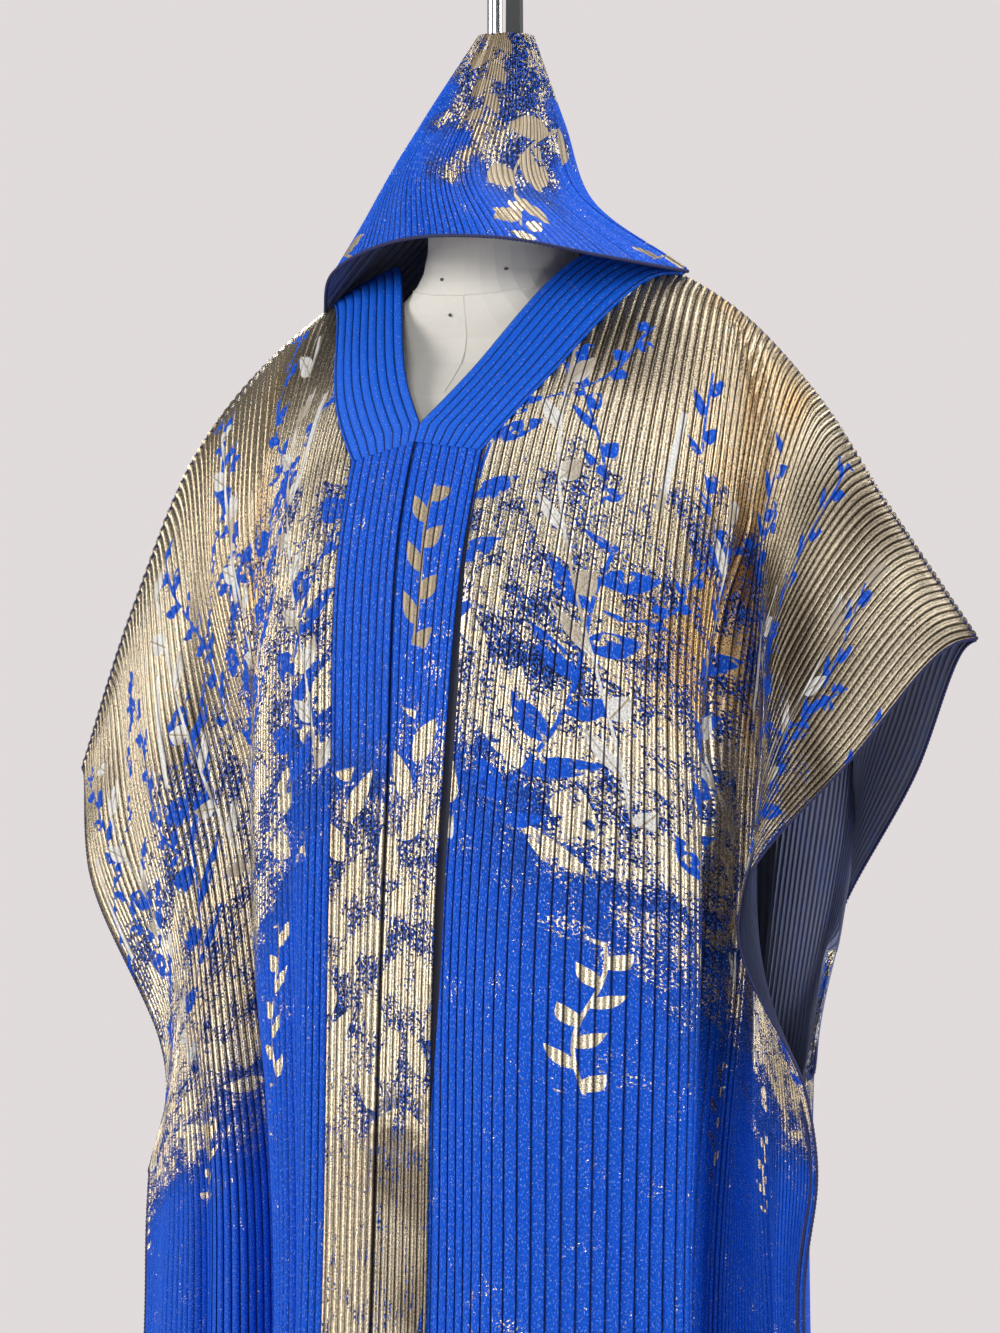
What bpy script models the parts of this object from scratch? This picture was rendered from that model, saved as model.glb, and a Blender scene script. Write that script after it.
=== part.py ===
"""Hooded grand boubou robe on a limbless dress form.

Metres, +Z up. The origin is on the floor, under the middle of the base. The robe's front
faces -Y and the wearer's left side is +X. Every cloth piece is a thin wall on one smooth
surface, which is worked out from the section tables below.
"""

import math

import bmesh
import bpy
import numpy as np

# ---- driving sizes -------------------------------------------------------------------------

SEAM_GAP = 0.0003          # clear space between two pieces that meet at a seam
CLOTH = 0.0016             # wall of the ribbed cloth
BAND_CLOTH = 0.0022        # wall of the doubled neckbands and placket bands
HALF_CUT = 0.54            # half of the robe's cut width, centre line to cuff edge
CUFF_DROP = 0.46           # cut distance below the fold where the side seam begins
HEM_DROP = 1.46            # cut length from shoulder fold to hem on the centre line
SIDE_SEAM_SPREAD = 0.0048  # front and back edges, outside to outside, where they are sewn

NECK_HALF = 0.152          # half of the neck opening along the shoulder fold
BACK_NECK_DEPTH = 0.085    # how far the back neckline dips below the shoulder fold
BAND_INNER_HALF = 0.092    # half of the opening between the neckbands, at the shoulder
VEE_DROP = 0.178           # cut distance from shoulder fold down to the point of the V
MITRE_DROP = 0.197         # where the neckbands end and the placket begins
PLACKET_HALF = 0.052       # width of one placket band
SLIT_WIDTH = 0.005         # open slit beside the placket on the wearer's left
SLIT_DROP = 0.66           # where that slit ends
SLIT_BACKING_HALF = 0.010  # half width of the dark strip behind it

ROUNDING_DROP = 0.030      # the cloth rolls over the shoulder within this drop
ROUNDING_SHARE = 0.21      # share of the way to the next section at that drop
ROUNDING_LIFT = 0.013      # height that the roll keeps above a straight fall
PROBE = 0.001              # step for reading the slope of a surface
SQUARE_END = 0.012         # distance in which a wall turns square to its seam

# A row for each section across the robe, from shoulder fold to hem. "drop" is the cut
# distance below the fold on the centre line. The other columns are where the ribs at the
# LINE_REACH distances from the centre line lie: x away from the centre, y to the back, z up.
LINE_REACH = (0.0, 0.10, 0.20, 0.29, 0.40, HALF_CUT)
#     drop   centre                 chest                  crest
#            groove                 wing                   edge
FRONT_LEFT = (
    (0.00, (0.000, 0.000, 1.462), (0.100, 0.000, 1.452), (0.188, 0.000, 1.410),
           (0.252, 0.000, 1.348), (0.307, 0.004, 1.268), (0.373, 0.011, 1.173)),
    (0.13, (0.000, -0.098, 1.362), (0.102, -0.092, 1.352), (0.204, -0.070, 1.302),
           (0.243, -0.060, 1.250), (0.250, -0.045, 1.172), (0.298, -0.038, 1.090)),
    (0.26, (0.000, -0.146, 1.262), (0.100, -0.140, 1.236), (0.208, -0.104, 1.172),
           (0.214, -0.030, 1.130), (0.232, -0.056, 1.068), (0.229, -0.073, 0.998)),
    (0.46, (0.000, -0.167, 1.055), (0.088, -0.162, 1.035), (0.206, -0.098, 0.990),
           (0.196, -0.012, 0.960), (0.226, -0.050, 0.905), (0.272, -0.061, 0.852)),
    (0.82, (0.000, -0.188, 0.700), (0.086, -0.174, 0.700), (0.194, -0.088, 0.700),
           (0.178, -0.018, 0.700), (0.226, -0.040, 0.700), (0.267, -0.057, 0.700)),
    (HEM_DROP, (0.000, -0.226, 0.058), (0.100, -0.214, 0.058), (0.218, -0.124, 0.058),
               (0.205, -0.030, 0.058), (0.262, -0.050, 0.058), (0.300, -0.064, 0.058)),
)
FRONT_RIGHT = (
    (0.00, (0.000, 0.000, 1.462), (0.100, 0.000, 1.446), (0.200, 0.000, 1.390),
           (0.272, 0.000, 1.318), (0.332, 0.004, 1.206), (0.392, 0.016, 1.074)),
    (0.13, (0.000, -0.098, 1.362), (0.100, -0.094, 1.340), (0.168, -0.082, 1.285),
           (0.226, -0.052, 1.212), (0.290, -0.034, 1.092), (0.362, -0.014, 0.990)),
    (0.26, (0.000, -0.146, 1.262), (0.096, -0.138, 1.228), (0.154, -0.106, 1.160),
           (0.188, -0.052, 1.090), (0.246, -0.058, 0.978), (0.281, -0.040, 0.872)),
    (0.46, (0.000, -0.167, 1.055), (0.086, -0.160, 1.030), (0.147, -0.116, 0.975),
           (0.168, -0.036, 0.910), (0.222, -0.068, 0.842), (0.289, -0.042, 0.768)),
    (0.82, (0.000, -0.188, 0.700), (0.080, -0.170, 0.700), (0.112, -0.126, 0.690),
           (0.142, -0.040, 0.680), (0.206, -0.084, 0.665), (0.292, -0.044, 0.640)),
    (HEM_DROP, (0.000, -0.226, 0.058), (0.096, -0.210, 0.058), (0.140, -0.152, 0.058),
               (0.170, -0.056, 0.058), (0.230, -0.094, 0.058), (0.312, -0.052, 0.058)),
)
BACK_LEFT = (
    FRONT_LEFT[0],
    (0.13, (0.000, 0.088, 1.372), (0.100, 0.090, 1.362), (0.202, 0.066, 1.304),
           (0.244, 0.060, 1.254), (0.262, 0.062, 1.184), (0.302, 0.064, 1.078)),
    (0.26, (0.000, 0.130, 1.252), (0.100, 0.138, 1.240), (0.204, 0.104, 1.180),
           (0.214, 0.052, 1.132), (0.238, 0.082, 1.062), (0.226, 0.086, 0.966)),
    (0.46, (0.000, 0.148, 1.050), (0.088, 0.154, 1.036), (0.192, 0.108, 0.990),
           (0.196, 0.044, 0.955), (0.232, 0.040, 0.900), None),
    (0.82, (0.000, 0.164, 0.700), (0.090, 0.166, 0.700), (0.188, 0.106, 0.700),
           (0.182, 0.040, 0.700), (0.236, 0.020, 0.700), None),
    (HEM_DROP, (0.000, 0.204, 0.058), (0.104, 0.198, 0.058), (0.212, 0.128, 0.058),
               (0.204, 0.050, 0.058), (0.268, 0.020, 0.058), None),
)
BACK_RIGHT = (
    FRONT_RIGHT[0],
    (0.13, (0.000, 0.088, 1.372), (0.100, 0.090, 1.354), (0.186, 0.070, 1.290),
           (0.240, 0.058, 1.214), (0.300, 0.056, 1.098), (0.362, 0.060, 0.984)),
    (0.26, (0.000, 0.130, 1.252), (0.100, 0.138, 1.234), (0.184, 0.106, 1.166),
           (0.206, 0.058, 1.094), (0.256, 0.078, 0.980), (0.274, 0.070, 0.864)),
    (0.46, (0.000, 0.148, 1.050), (0.088, 0.154, 1.032), (0.176, 0.110, 0.975),
           (0.184, 0.048, 0.915), (0.236, 0.040, 0.842), None),
    (0.82, (0.000, 0.164, 0.700), (0.090, 0.166, 0.700), (0.172, 0.108, 0.690),
           (0.176, 0.042, 0.680), (0.240, 0.026, 0.665), None),
    (HEM_DROP, (0.000, 0.204, 0.058), (0.104, 0.198, 0.058), (0.206, 0.128, 0.058),
               (0.200, 0.050, 0.058), (0.268, 0.022, 0.058), None),
)

# Mesh divisions of one panel
PANEL_DROPS = (0.0, 0.015, 0.03, 0.06, 0.10, 0.14, VEE_DROP, MITRE_DROP, 0.22, 0.26, 0.31,
               0.36, 0.41, CUFF_DROP, 0.55, SLIT_DROP, 0.80, 1.10, HEM_DROP)
PANEL_COLUMNS = 17
BACK_NECK_COLUMNS = 7
BACK_WING_COLUMNS = 12
BAND_COLUMNS = 2

# Hood: it hangs from the rod, so it stands as a tent over the neck.
HOOD_PEAK = (0.001, 0.000, 1.612)
HOOD_HOLE = 0.0205         # radius of the gap left in the crown seam, where the rod passes
HOOD_SEGMENTS = 40
HOOD_LIFT = 0.0042         # hood's lower edge above the neckline that it is sewn to
HOOD_RISE = (0.0, 0.08, 0.20, 0.36, 0.52, 0.68, 0.84, 1.0)
# down: share of the way from peak to lower edge. Reaches from the peak's axis.
HOOD_SECTIONS = (
    # down  left   right  front  back
    (0.00, HOOD_HOLE, HOOD_HOLE, HOOD_HOLE, HOOD_HOLE),
    (0.36, 0.042, 0.062, 0.056, 0.048),
    (0.68, 0.062, 0.092, 0.092, 0.074),
)
# The hood's free rim, from the wearer's right round the front to the wearer's left
HOOD_RIM = (
    # degrees  x       y       z
    (180.0, -0.153, -0.004, 1.4120),
    (212.0, -0.112, -0.058, 1.4400),
    (250.0, -0.026, -0.102, 1.4570),
    (286.0, 0.062, -0.120, 1.4530),
    (325.0, 0.126, -0.082, 1.4400),
    (360.0, 0.153, -0.004, 1.4340),
)

# Dress form: half width and the reach to front and back at each height
FORM_SEGMENTS = 32
FORM_SECTIONS = (
    # z      half   front  back
    (0.800, 0.158, 0.094, 0.108),
    (0.870, 0.164, 0.100, 0.116),
    (0.960, 0.148, 0.098, 0.106),
    (1.070, 0.118, 0.088, 0.084),
    (1.160, 0.130, 0.106, 0.088),
    (1.240, 0.146, 0.126, 0.096),
    (1.300, 0.154, 0.114, 0.098),
    (1.345, 0.178, 0.090, 0.084),
    (1.370, 0.184, 0.062, 0.056),
    (1.388, 0.154, 0.056, 0.046),
    (1.404, 0.110, 0.058, 0.044),
    (1.420, 0.076, 0.060, 0.043),
    (1.438, 0.060, 0.058, 0.044),
    (1.470, 0.056, 0.056, 0.046),
)
NECK_CAP_RADIUS = 0.046
NECK_CAP_HEIGHT = 0.008
ROD_RADIUS = 0.0055
ROD_X = -0.0085
ROD_TOP = 1.690
BAR_X = 0.0045
BAR_HALF_TOP = 0.0055      # half width of the flat bar at its top
BAR_HALF_FOOT = 0.0070
BAR_HALF_DEPTH = 0.0025
BAR_TOP = 1.674
COLUMN_RADIUS = 0.016
BASE_RADIUS = 0.170
BASE_HEIGHT = 0.014
BASE_HUB_RADIUS = 0.030
BASE_HUB_HEIGHT = 0.026

COLOURS = {
    # name: colour, roughness, metallic
    "ribbed_jacquard": ((0.05, 0.15, 0.72), 0.35, 0.60),
    "band_satin": ((0.03, 0.12, 0.62), 0.40, 0.20),
    "slit_backing": ((0.01, 0.012, 0.03), 0.70, 0.00),
    "form_canvas": ((0.72, 0.69, 0.62), 0.85, 0.00),
    "chrome": ((0.70, 0.71, 0.72), 0.18, 1.00),
    "dark_bar": ((0.06, 0.06, 0.07), 0.45, 0.60),
    "stand_steel": ((0.30, 0.30, 0.31), 0.40, 0.80),
}


# ---- smooth curves through table rows ------------------------------------------------------

def smooth(stations, values, at):
    """Values on a smooth curve through (station, value) rows, at one or many places."""
    stations = np.asarray(stations, float)
    values = np.asarray(values, float)
    at = np.clip(np.asarray(at, float), stations[0], stations[-1])
    gaps = np.diff(stations)
    slopes = np.diff(values, axis=0) / gaps.reshape((-1,) + (1,) * (values.ndim - 1))
    tangents = np.empty_like(values)
    tangents[0] = slopes[0]
    tangents[-1] = slopes[-1]
    for row in range(1, len(stations) - 1):
        share = gaps[row - 1] / (gaps[row - 1] + gaps[row])
        tangents[row] = slopes[row - 1] * (1 - share) + slopes[row] * share
    span = np.clip(np.searchsorted(stations, at, side="right") - 1, 0, len(stations) - 2)
    step = gaps[span]
    local = (at - stations[span]) / step
    shape = local.shape + (1,) * (values.ndim - 1)
    local = local.reshape(shape)
    step = step.reshape(shape)
    square = local * local
    cube = square * local
    return ((2 * cube - 3 * square + 1) * values[span]
            + (cube - 2 * square + local) * step * tangents[span]
            + (3 * square - 2 * cube) * values[span + 1]
            + (cube - square) * step * tangents[span + 1])


class Panel:
    """One side of the front or back: a smooth surface by reach from the centre and drop."""

    def __init__(self, table, side, facing, partner=None):
        self.side = side
        self.facing = facing
        rows = []
        for index, row in enumerate(table):
            points = [list(point) for point in row[1:] if point is not None]
            if len(points) < len(LINE_REACH):
                sewn = list(partner.table[index][-1])
                sewn[1] += SIDE_SEAM_SPREAD
                points.append(sewn)
            rows.append(points)
        drops = [row[0] for row in table]
        net = np.array(rows)
        roll = net[0] + (net[1] - net[0]) * ROUNDING_SHARE
        roll[:, 2] += ROUNDING_LIFT
        self.table = table
        self.drops = [drops[0], ROUNDING_DROP] + drops[1:]
        self.net = np.concatenate([net[:1], roll[None], net[1:]])
        self.net[0, :, 1] += facing * SEAM_GAP / 2
        self.partner = partner

    def lines(self, drop):
        """Where the ribs of LINE_REACH lie at each drop. A back's edge follows its front's."""
        lines = smooth(self.drops, self.net, drop)
        if self.partner is not None:
            sewn = drop >= CUFF_DROP
            lines[sewn, -1] = self.partner.lines(drop[sewn])[:, -1]
            lines[sewn, -1, 1] += SIDE_SEAM_SPREAD
        return lines

    def at(self, reach, drop):
        """The outer surface's points, for arrays of reach and drop of one shape."""
        reach = np.clip(reach, 0.0, HALF_CUT)
        drop = np.clip(drop, 0.0, HEM_DROP)
        lines = self.lines(drop.ravel())
        out = np.empty((reach.size, 3))
        for index, distance in enumerate(reach.ravel()):
            out[index] = smooth(LINE_REACH, lines[index], distance)
        out[:, 0] *= self.side
        return out.reshape(reach.shape + (3,))

    def wall(self, reach, drop, thickness, behind=0.0):
        """Outer and inner points of a cloth wall, which may lie behind the surface."""
        outer = self.at(reach, drop)
        across = self.at(reach + PROBE, drop) - self.at(reach - PROBE, drop)
        along = self.at(reach, drop + PROBE) - self.at(reach, drop - PROBE)
        normals = np.cross(across, along) * self.side * self.facing
        normals /= np.linalg.norm(normals, axis=2, keepdims=True)
        # Pieces that meet at the centre line or the shoulder fold end square to it.
        normals[..., 0] *= np.clip(reach / SQUARE_END, 0.0, 1.0)
        normals[..., 1] *= np.clip(drop / SQUARE_END, 0.0, 1.0)
        normals /= np.linalg.norm(normals, axis=2, keepdims=True)
        return outer - normals * behind, outer - normals * (behind + thickness)


# ---- walls ---------------------------------------------------------------------------------


def wall_mesh(name, outer, inner, wrapped=False):
    """A closed wall between two grids of the same shape."""
    rows, columns, _ = outer.shape
    mesh = bmesh.new()
    skins = []
    for grid in (outer, inner):
        skins.append([[mesh.verts.new(point) for point in row] for row in grid])
    spans = columns if wrapped else columns - 1
    for row in range(rows - 1):
        for column in range(spans):
            beside = (column + 1) % columns
            for skin in skins:
                mesh.faces.new((skin[row][column], skin[row][beside],
                                skin[row + 1][beside], skin[row + 1][column]))
    for row in (0, rows - 1):
        for column in range(spans):
            beside = (column + 1) % columns
            mesh.faces.new((skins[0][row][column], skins[0][row][beside],
                            skins[1][row][beside], skins[1][row][column]))
    if not wrapped:
        for column in (0, columns - 1):
            for row in range(rows - 1):
                mesh.faces.new((skins[0][row][column], skins[0][row + 1][column],
                                skins[1][row + 1][column], skins[1][row][column]))
    bmesh.ops.recalc_face_normals(mesh, faces=mesh.faces)
    data = bpy.data.meshes.new(name)
    mesh.to_mesh(data)
    mesh.free()
    return data


def place(name, data, material, parent, smooth_angle=None):
    """Put a mesh in the scene as a named object with its material and parent."""
    data.materials.append(material)
    if smooth_angle is not None:
        data.shade_smooth()
        data.set_sharp_from_angle(angle=math.radians(smooth_angle))
    piece = bpy.data.objects.new(name, data)
    piece.parent = parent
    bpy.context.collection.objects.link(piece)
    return piece


def cloth_wall(name, skins, material, parent):
    """A cloth piece between its outer and its inner skin."""
    return place(name, wall_mesh(name, *skins), material, parent, smooth_angle=60)


def grid(inner, outer, drops, columns):
    """Reach and drop of a grid whose rows run from an inner reach to an outer one."""
    share = np.linspace(0.0, 1.0, columns)
    reach = inner[:, None] + (outer - inner)[:, None] * share[None, :]
    return reach, np.repeat(drops[:, None], columns, axis=1)


# ---- robe ----------------------------------------------------------------------------------

def band_outer(drop):
    """Reach of a front panel's inner edge: along the neckband, then along the placket."""
    share = np.clip(drop / MITRE_DROP, 0.0, 1.0)
    return NECK_HALF + (PLACKET_HALF - NECK_HALF) * share


def band_inner(drop):
    """Reach of a neckband's inner edge, which comes to the centre line at the V's point."""
    share = np.clip(drop / VEE_DROP, 0.0, 1.0)
    return BAND_INNER_HALF * (1.0 - share) + SEAM_GAP / 2


def slit(drop, side):
    """Extra room between the placket and the wearer's left front panel, down to SLIT_DROP."""
    if side < 0:
        return np.zeros_like(drop)
    inside = (drop > MITRE_DROP + 0.001) & (drop < SLIT_DROP)
    return np.where(inside, SLIT_WIDTH, 0.0)


def build_front(name, panel, material, parent):
    drops = np.array(PANEL_DROPS)
    start = band_outer(drops) + SEAM_GAP + slit(drops, panel.side)
    reach, drop = grid(start, np.full_like(start, HALF_CUT), drops, PANEL_COLUMNS)
    cloth_wall(name, panel.wall(reach, drop, CLOTH), material, parent)


def back_neckline(reach):
    """Drop of the back neckline at a reach from the centre line."""
    inside = np.clip(1.0 - (np.abs(reach) / NECK_HALF) ** 2, 0.0, 1.0)
    return BACK_NECK_DEPTH * np.sqrt(inside)


def build_back(name, panel, material, parent):
    reaches = np.concatenate([np.linspace(SEAM_GAP / 2, NECK_HALF, BACK_NECK_COLUMNS),
                              np.linspace(NECK_HALF, HALF_CUT, BACK_WING_COLUMNS)[1:]])
    start = back_neckline(reaches)
    share = np.array(PANEL_DROPS) / HEM_DROP
    drop = start[None, :] + (HEM_DROP - start)[None, :] * share[:, None]
    reach = np.repeat(reaches[None, :], len(share), axis=0)
    cloth_wall(name, panel.wall(reach, drop, CLOTH), material, parent)


def build_neckband(name, panel, material, parent):
    drops = np.array([drop for drop in PANEL_DROPS if drop <= MITRE_DROP])
    reach, drop = grid(band_inner(drops), band_outer(drops), drops, BAND_COLUMNS + 1)
    cloth_wall(name, panel.wall(reach, drop, BAND_CLOTH), material, parent)


def strip(panel, inner, outer, start, end, thickness, behind=0.0):
    """Skins of a strip down the front, between two reaches and two drops."""
    between = [drop for drop in PANEL_DROPS if start + 0.004 < drop < end - 0.004]
    drops = np.array([start] + between + [end])
    sides = [np.full_like(drops, side) for side in (inner, outer)]
    return panel.wall(*grid(*sides, drops, BAND_COLUMNS + 1), thickness, behind)


def build_placket(name, panel, material, parent):
    skins = strip(panel, SEAM_GAP / 2, PLACKET_HALF, MITRE_DROP + SEAM_GAP, HEM_DROP,
                  BAND_CLOTH)
    cloth_wall(name, skins, material, parent)


def build_slit_backing(name, panel, material, parent):
    """The dark strip that shows in the slit, lying behind both edges."""
    middle = PLACKET_HALF + SLIT_WIDTH / 2
    skins = strip(panel, middle - SLIT_BACKING_HALF, middle + SLIT_BACKING_HALF,
                  MITRE_DROP, SLIT_DROP, CLOTH, behind=BAND_CLOTH + SEAM_GAP)
    cloth_wall(name, skins, material, parent)


def hood_edge(angles, left, right):
    """The hood's lower edge: the back neckline behind, and the free rim in front."""
    edge = np.empty((len(angles), 3))
    rim = np.array(HOOD_RIM)
    for index, angle in enumerate(angles):
        if angle <= 180.0:
            reach = NECK_HALF * math.cos(math.radians(angle))
            panel = left if reach >= 0 else right
            edge[index] = panel.at(abs(reach), back_neckline(reach))
            edge[index, 2] += HOOD_LIFT
        else:
            edge[index] = smooth(rim[:, 0], rim[:, 1:], angle)
    return edge


def hood_grid(left, right):
    angles = np.arange(HOOD_SEGMENTS) * 360.0 / HOOD_SEGMENTS
    edge = hood_edge(angles, left, right)
    peak = np.array(HOOD_PEAK)
    sections = np.array(HOOD_SECTIONS)
    turn = np.radians(angles)
    rings = []
    for down, to_left, to_right, to_front, to_back in sections:
        reach_x = np.where(np.cos(turn) >= 0, to_left, to_right)
        reach_y = np.where(np.sin(turn) >= 0, to_back, to_front)
        ring = np.empty((HOOD_SEGMENTS, 3))
        ring[:, 0] = peak[0] + reach_x * np.cos(turn)
        ring[:, 1] = peak[1] + reach_y * np.sin(turn)
        ring[:, 2] = peak[2] + (edge[:, 2] - peak[2]) * down
        rings.append(ring)
    rings.append(edge)
    stations = np.append(sections[:, 0], 1.0)
    return smooth(stations, np.array(rings), np.array(HOOD_RISE))


def build_hood(left, right, material, parent):
    points = hood_grid(left, right)
    across = np.roll(points, -1, axis=1) - np.roll(points, 1, axis=1)
    normals = np.cross(np.gradient(points, axis=0), across)
    normals /= np.linalg.norm(normals, axis=2, keepdims=True)
    inner = points - normals * CLOTH
    data = wall_mesh("hood", points, inner, wrapped=True)
    place("hood", data, material, parent, smooth_angle=70)


# ---- form and stand ------------------------------------------------------------------------

def ring_loft(name, rings):
    """A closed solid through rings of the same count of points, capped at both ends."""
    mesh = bmesh.new()
    loops = [[mesh.verts.new(point) for point in ring] for ring in rings]
    count = len(loops[0])
    for lower, upper in zip(loops, loops[1:]):
        for index in range(count):
            beside = (index + 1) % count
            mesh.faces.new((lower[index], lower[beside], upper[beside], upper[index]))
    mesh.faces.new(loops[0])
    mesh.faces.new(loops[-1])
    bmesh.ops.recalc_face_normals(mesh, faces=mesh.faces)
    data = bpy.data.meshes.new(name)
    mesh.to_mesh(data)
    mesh.free()
    return data


def build_form(material, parent):
    sections = np.array(FORM_SECTIONS)
    heights = []
    for lower, upper in zip(sections[:-1, 0], sections[1:, 0]):
        heights += [lower, (lower + upper) / 2]
    heights.append(sections[-1, 0])
    rings = []
    for z, half, front, back in zip(heights, *smooth(sections[:, 0], sections[:, 1:], heights).T):
        turn = np.arange(FORM_SEGMENTS) * math.tau / FORM_SEGMENTS
        depth = np.where(np.sin(turn) >= 0, back, front)
        rings.append(np.stack([half * np.cos(turn), depth * np.sin(turn),
                               np.full(FORM_SEGMENTS, z)], axis=1))
    place("form_torso", ring_loft("form_torso", rings), material, parent, smooth_angle=50)


def turned(name, profile, centre_x, material, parent, segments=32):
    """A turned solid: rings of (radius, height) about an upright axis."""
    turn = np.arange(segments) * math.tau / segments
    rings = []
    for radius, height in profile:
        rings.append(np.stack([radius * np.cos(turn), radius * np.sin(turn),
                               np.full(segments, height)], axis=1))
    piece = place(name, ring_loft(name, rings), material, parent, smooth_angle=35)
    piece.location.x = centre_x
    return piece


def build_bar(bottom, material, parent):
    """The flat tapered bar beside the rod."""
    rings = []
    for half, height in ((BAR_HALF_FOOT, bottom), (BAR_HALF_TOP, BAR_TOP)):
        corners = ((-half, -1), (half, -1), (half, 1), (-half, 1))
        rings.append([(x, side * BAR_HALF_DEPTH, height) for x, side in corners])
    bar = place("form_bar", ring_loft("form_bar", rings), material, parent)
    bar.location.x = BAR_X + BAR_HALF_FOOT / 2


def build_stand(materials, parent):
    neck_top = FORM_SECTIONS[-1][0]
    cap_bottom = neck_top + SEAM_GAP
    cap_top = cap_bottom + NECK_CAP_HEIGHT
    cap = ((NECK_CAP_RADIUS - 0.002, cap_bottom), (NECK_CAP_RADIUS, cap_bottom + 0.003),
           (NECK_CAP_RADIUS, cap_top - 0.004), (NECK_CAP_RADIUS - 0.006, cap_top))
    turned("form_neck_cap", cap, 0.0, materials["stand_steel"], parent)
    rod = ((ROD_RADIUS, cap_top + SEAM_GAP), (ROD_RADIUS, ROD_TOP - 0.002),
           (ROD_RADIUS - 0.002, ROD_TOP))
    turned("form_rod", rod, ROD_X, materials["chrome"], parent, segments=20)
    build_bar(cap_top + SEAM_GAP, materials["dark_bar"], parent)
    hub_top = BASE_HEIGHT + BASE_HUB_HEIGHT
    base = ((BASE_RADIUS, 0.0), (BASE_RADIUS, BASE_HEIGHT * 0.6),
            (BASE_RADIUS - 0.008, BASE_HEIGHT), (BASE_HUB_RADIUS + 0.006, BASE_HEIGHT + 0.004),
            (BASE_HUB_RADIUS, hub_top - 0.004), (BASE_HUB_RADIUS - 0.006, hub_top))
    turned("stand_base", base, 0.0, materials["stand_steel"], parent, segments=48)
    column = ((COLUMN_RADIUS, hub_top + SEAM_GAP),
              (COLUMN_RADIUS, FORM_SECTIONS[0][0] - SEAM_GAP))
    turned("stand_column", column, 0.0, materials["chrome"], parent, segments=24)


# ---- main ----------------------------------------------------------------------------------

def make_materials():
    materials = {}
    for name, (colour, roughness, metallic) in COLOURS.items():
        material = bpy.data.materials.new(name)
        material.use_nodes = True
        shader = material.node_tree.nodes["Principled BSDF"]
        shader.inputs["Base Color"].default_value = (*colour, 1.0)
        shader.inputs["Roughness"].default_value = roughness
        shader.inputs["Metallic"].default_value = metallic
        materials[name] = material
    return materials


def main():
    for item in list(bpy.data.objects):
        bpy.data.objects.remove(item, do_unlink=True)
    materials = make_materials()
    root = bpy.data.objects.new("robe_on_form", None)
    bpy.context.collection.objects.link(root)

    front_left = Panel(FRONT_LEFT, 1, -1)
    front_right = Panel(FRONT_RIGHT, -1, -1)
    back_left = Panel(BACK_LEFT, 1, 1, partner=front_left)
    back_right = Panel(BACK_RIGHT, -1, 1, partner=front_right)

    jacquard = materials["ribbed_jacquard"]
    satin = materials["band_satin"]
    build_front("front_left", front_left, jacquard, root)
    build_front("front_right", front_right, jacquard, root)
    build_back("back_left", back_left, jacquard, root)
    build_back("back_right", back_right, jacquard, root)
    build_neckband("neckband_left", front_left, satin, root)
    build_neckband("neckband_right", front_right, satin, root)
    build_placket("placket_left", front_left, satin, root)
    build_placket("placket_right", front_right, satin, root)
    build_slit_backing("slit_backing", front_left, materials["slit_backing"], root)
    build_hood(back_left, back_right, jacquard, root)

    build_form(materials["form_canvas"], root)
    build_stand(materials, root)


main()
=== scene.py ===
"""Looks of a hooded grand boubou robe on a limbless dress form.

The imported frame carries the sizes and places. This file adds the ribbed cloth, its print, the
stitched edges, the form's canvas and seams, the stand's finishes, the lights and the camera.
Metres, +Z up, the robe's front faces -Y and the wearer's left side is +X.
"""

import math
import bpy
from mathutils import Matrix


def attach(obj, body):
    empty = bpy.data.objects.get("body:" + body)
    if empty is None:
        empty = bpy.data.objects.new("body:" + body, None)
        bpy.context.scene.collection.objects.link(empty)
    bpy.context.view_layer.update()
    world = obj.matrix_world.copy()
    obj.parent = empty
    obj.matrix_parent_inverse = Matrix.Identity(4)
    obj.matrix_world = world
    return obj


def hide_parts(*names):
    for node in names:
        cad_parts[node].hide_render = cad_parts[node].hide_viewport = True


bl_info = {
    "name": "Hooded Boubou Robe",
    "version": (1, 0, 0),
    "blender": (4, 5, 0),
    "location": "View3D > Sidebar > Robe",
    "description": "Builds the ribbed cloth, print, form and studio of a hooded boubou robe",
    "category": "Object",
}

from functools import reduce

import bpy
import numpy as np
from mathutils import Vector

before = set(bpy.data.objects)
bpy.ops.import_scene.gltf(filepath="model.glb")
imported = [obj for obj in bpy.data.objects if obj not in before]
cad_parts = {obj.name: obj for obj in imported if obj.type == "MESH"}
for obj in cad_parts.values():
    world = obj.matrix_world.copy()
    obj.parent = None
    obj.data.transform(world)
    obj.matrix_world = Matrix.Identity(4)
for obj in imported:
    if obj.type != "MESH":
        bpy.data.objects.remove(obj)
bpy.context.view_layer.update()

# ---- the robe's cut and sections, the same as the CAD solids --------------------------------

SEAM_GAP = 0.0003
HALF_CUT = 0.54
CUFF_DROP = 0.46
HEM_DROP = 1.46
SIDE_SEAM_SPREAD = 0.0048
NECK_HALF = 0.152
BACK_NECK_DEPTH = 0.085
BAND_INNER_HALF = 0.092
VEE_DROP = 0.178
MITRE_DROP = 0.197
PLACKET_HALF = 0.052
SLIT_WIDTH = 0.005
SLIT_DROP = 0.66
SLIT_BACKING_HALF = 0.010
ROUNDING_DROP = 0.030
ROUNDING_SHARE = 0.21
ROUNDING_LIFT = 0.013
PROBE = 0.001
SQUARE_END = 0.012

LINE_REACH = (0.0, 0.10, 0.20, 0.29, 0.40, HALF_CUT)
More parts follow.
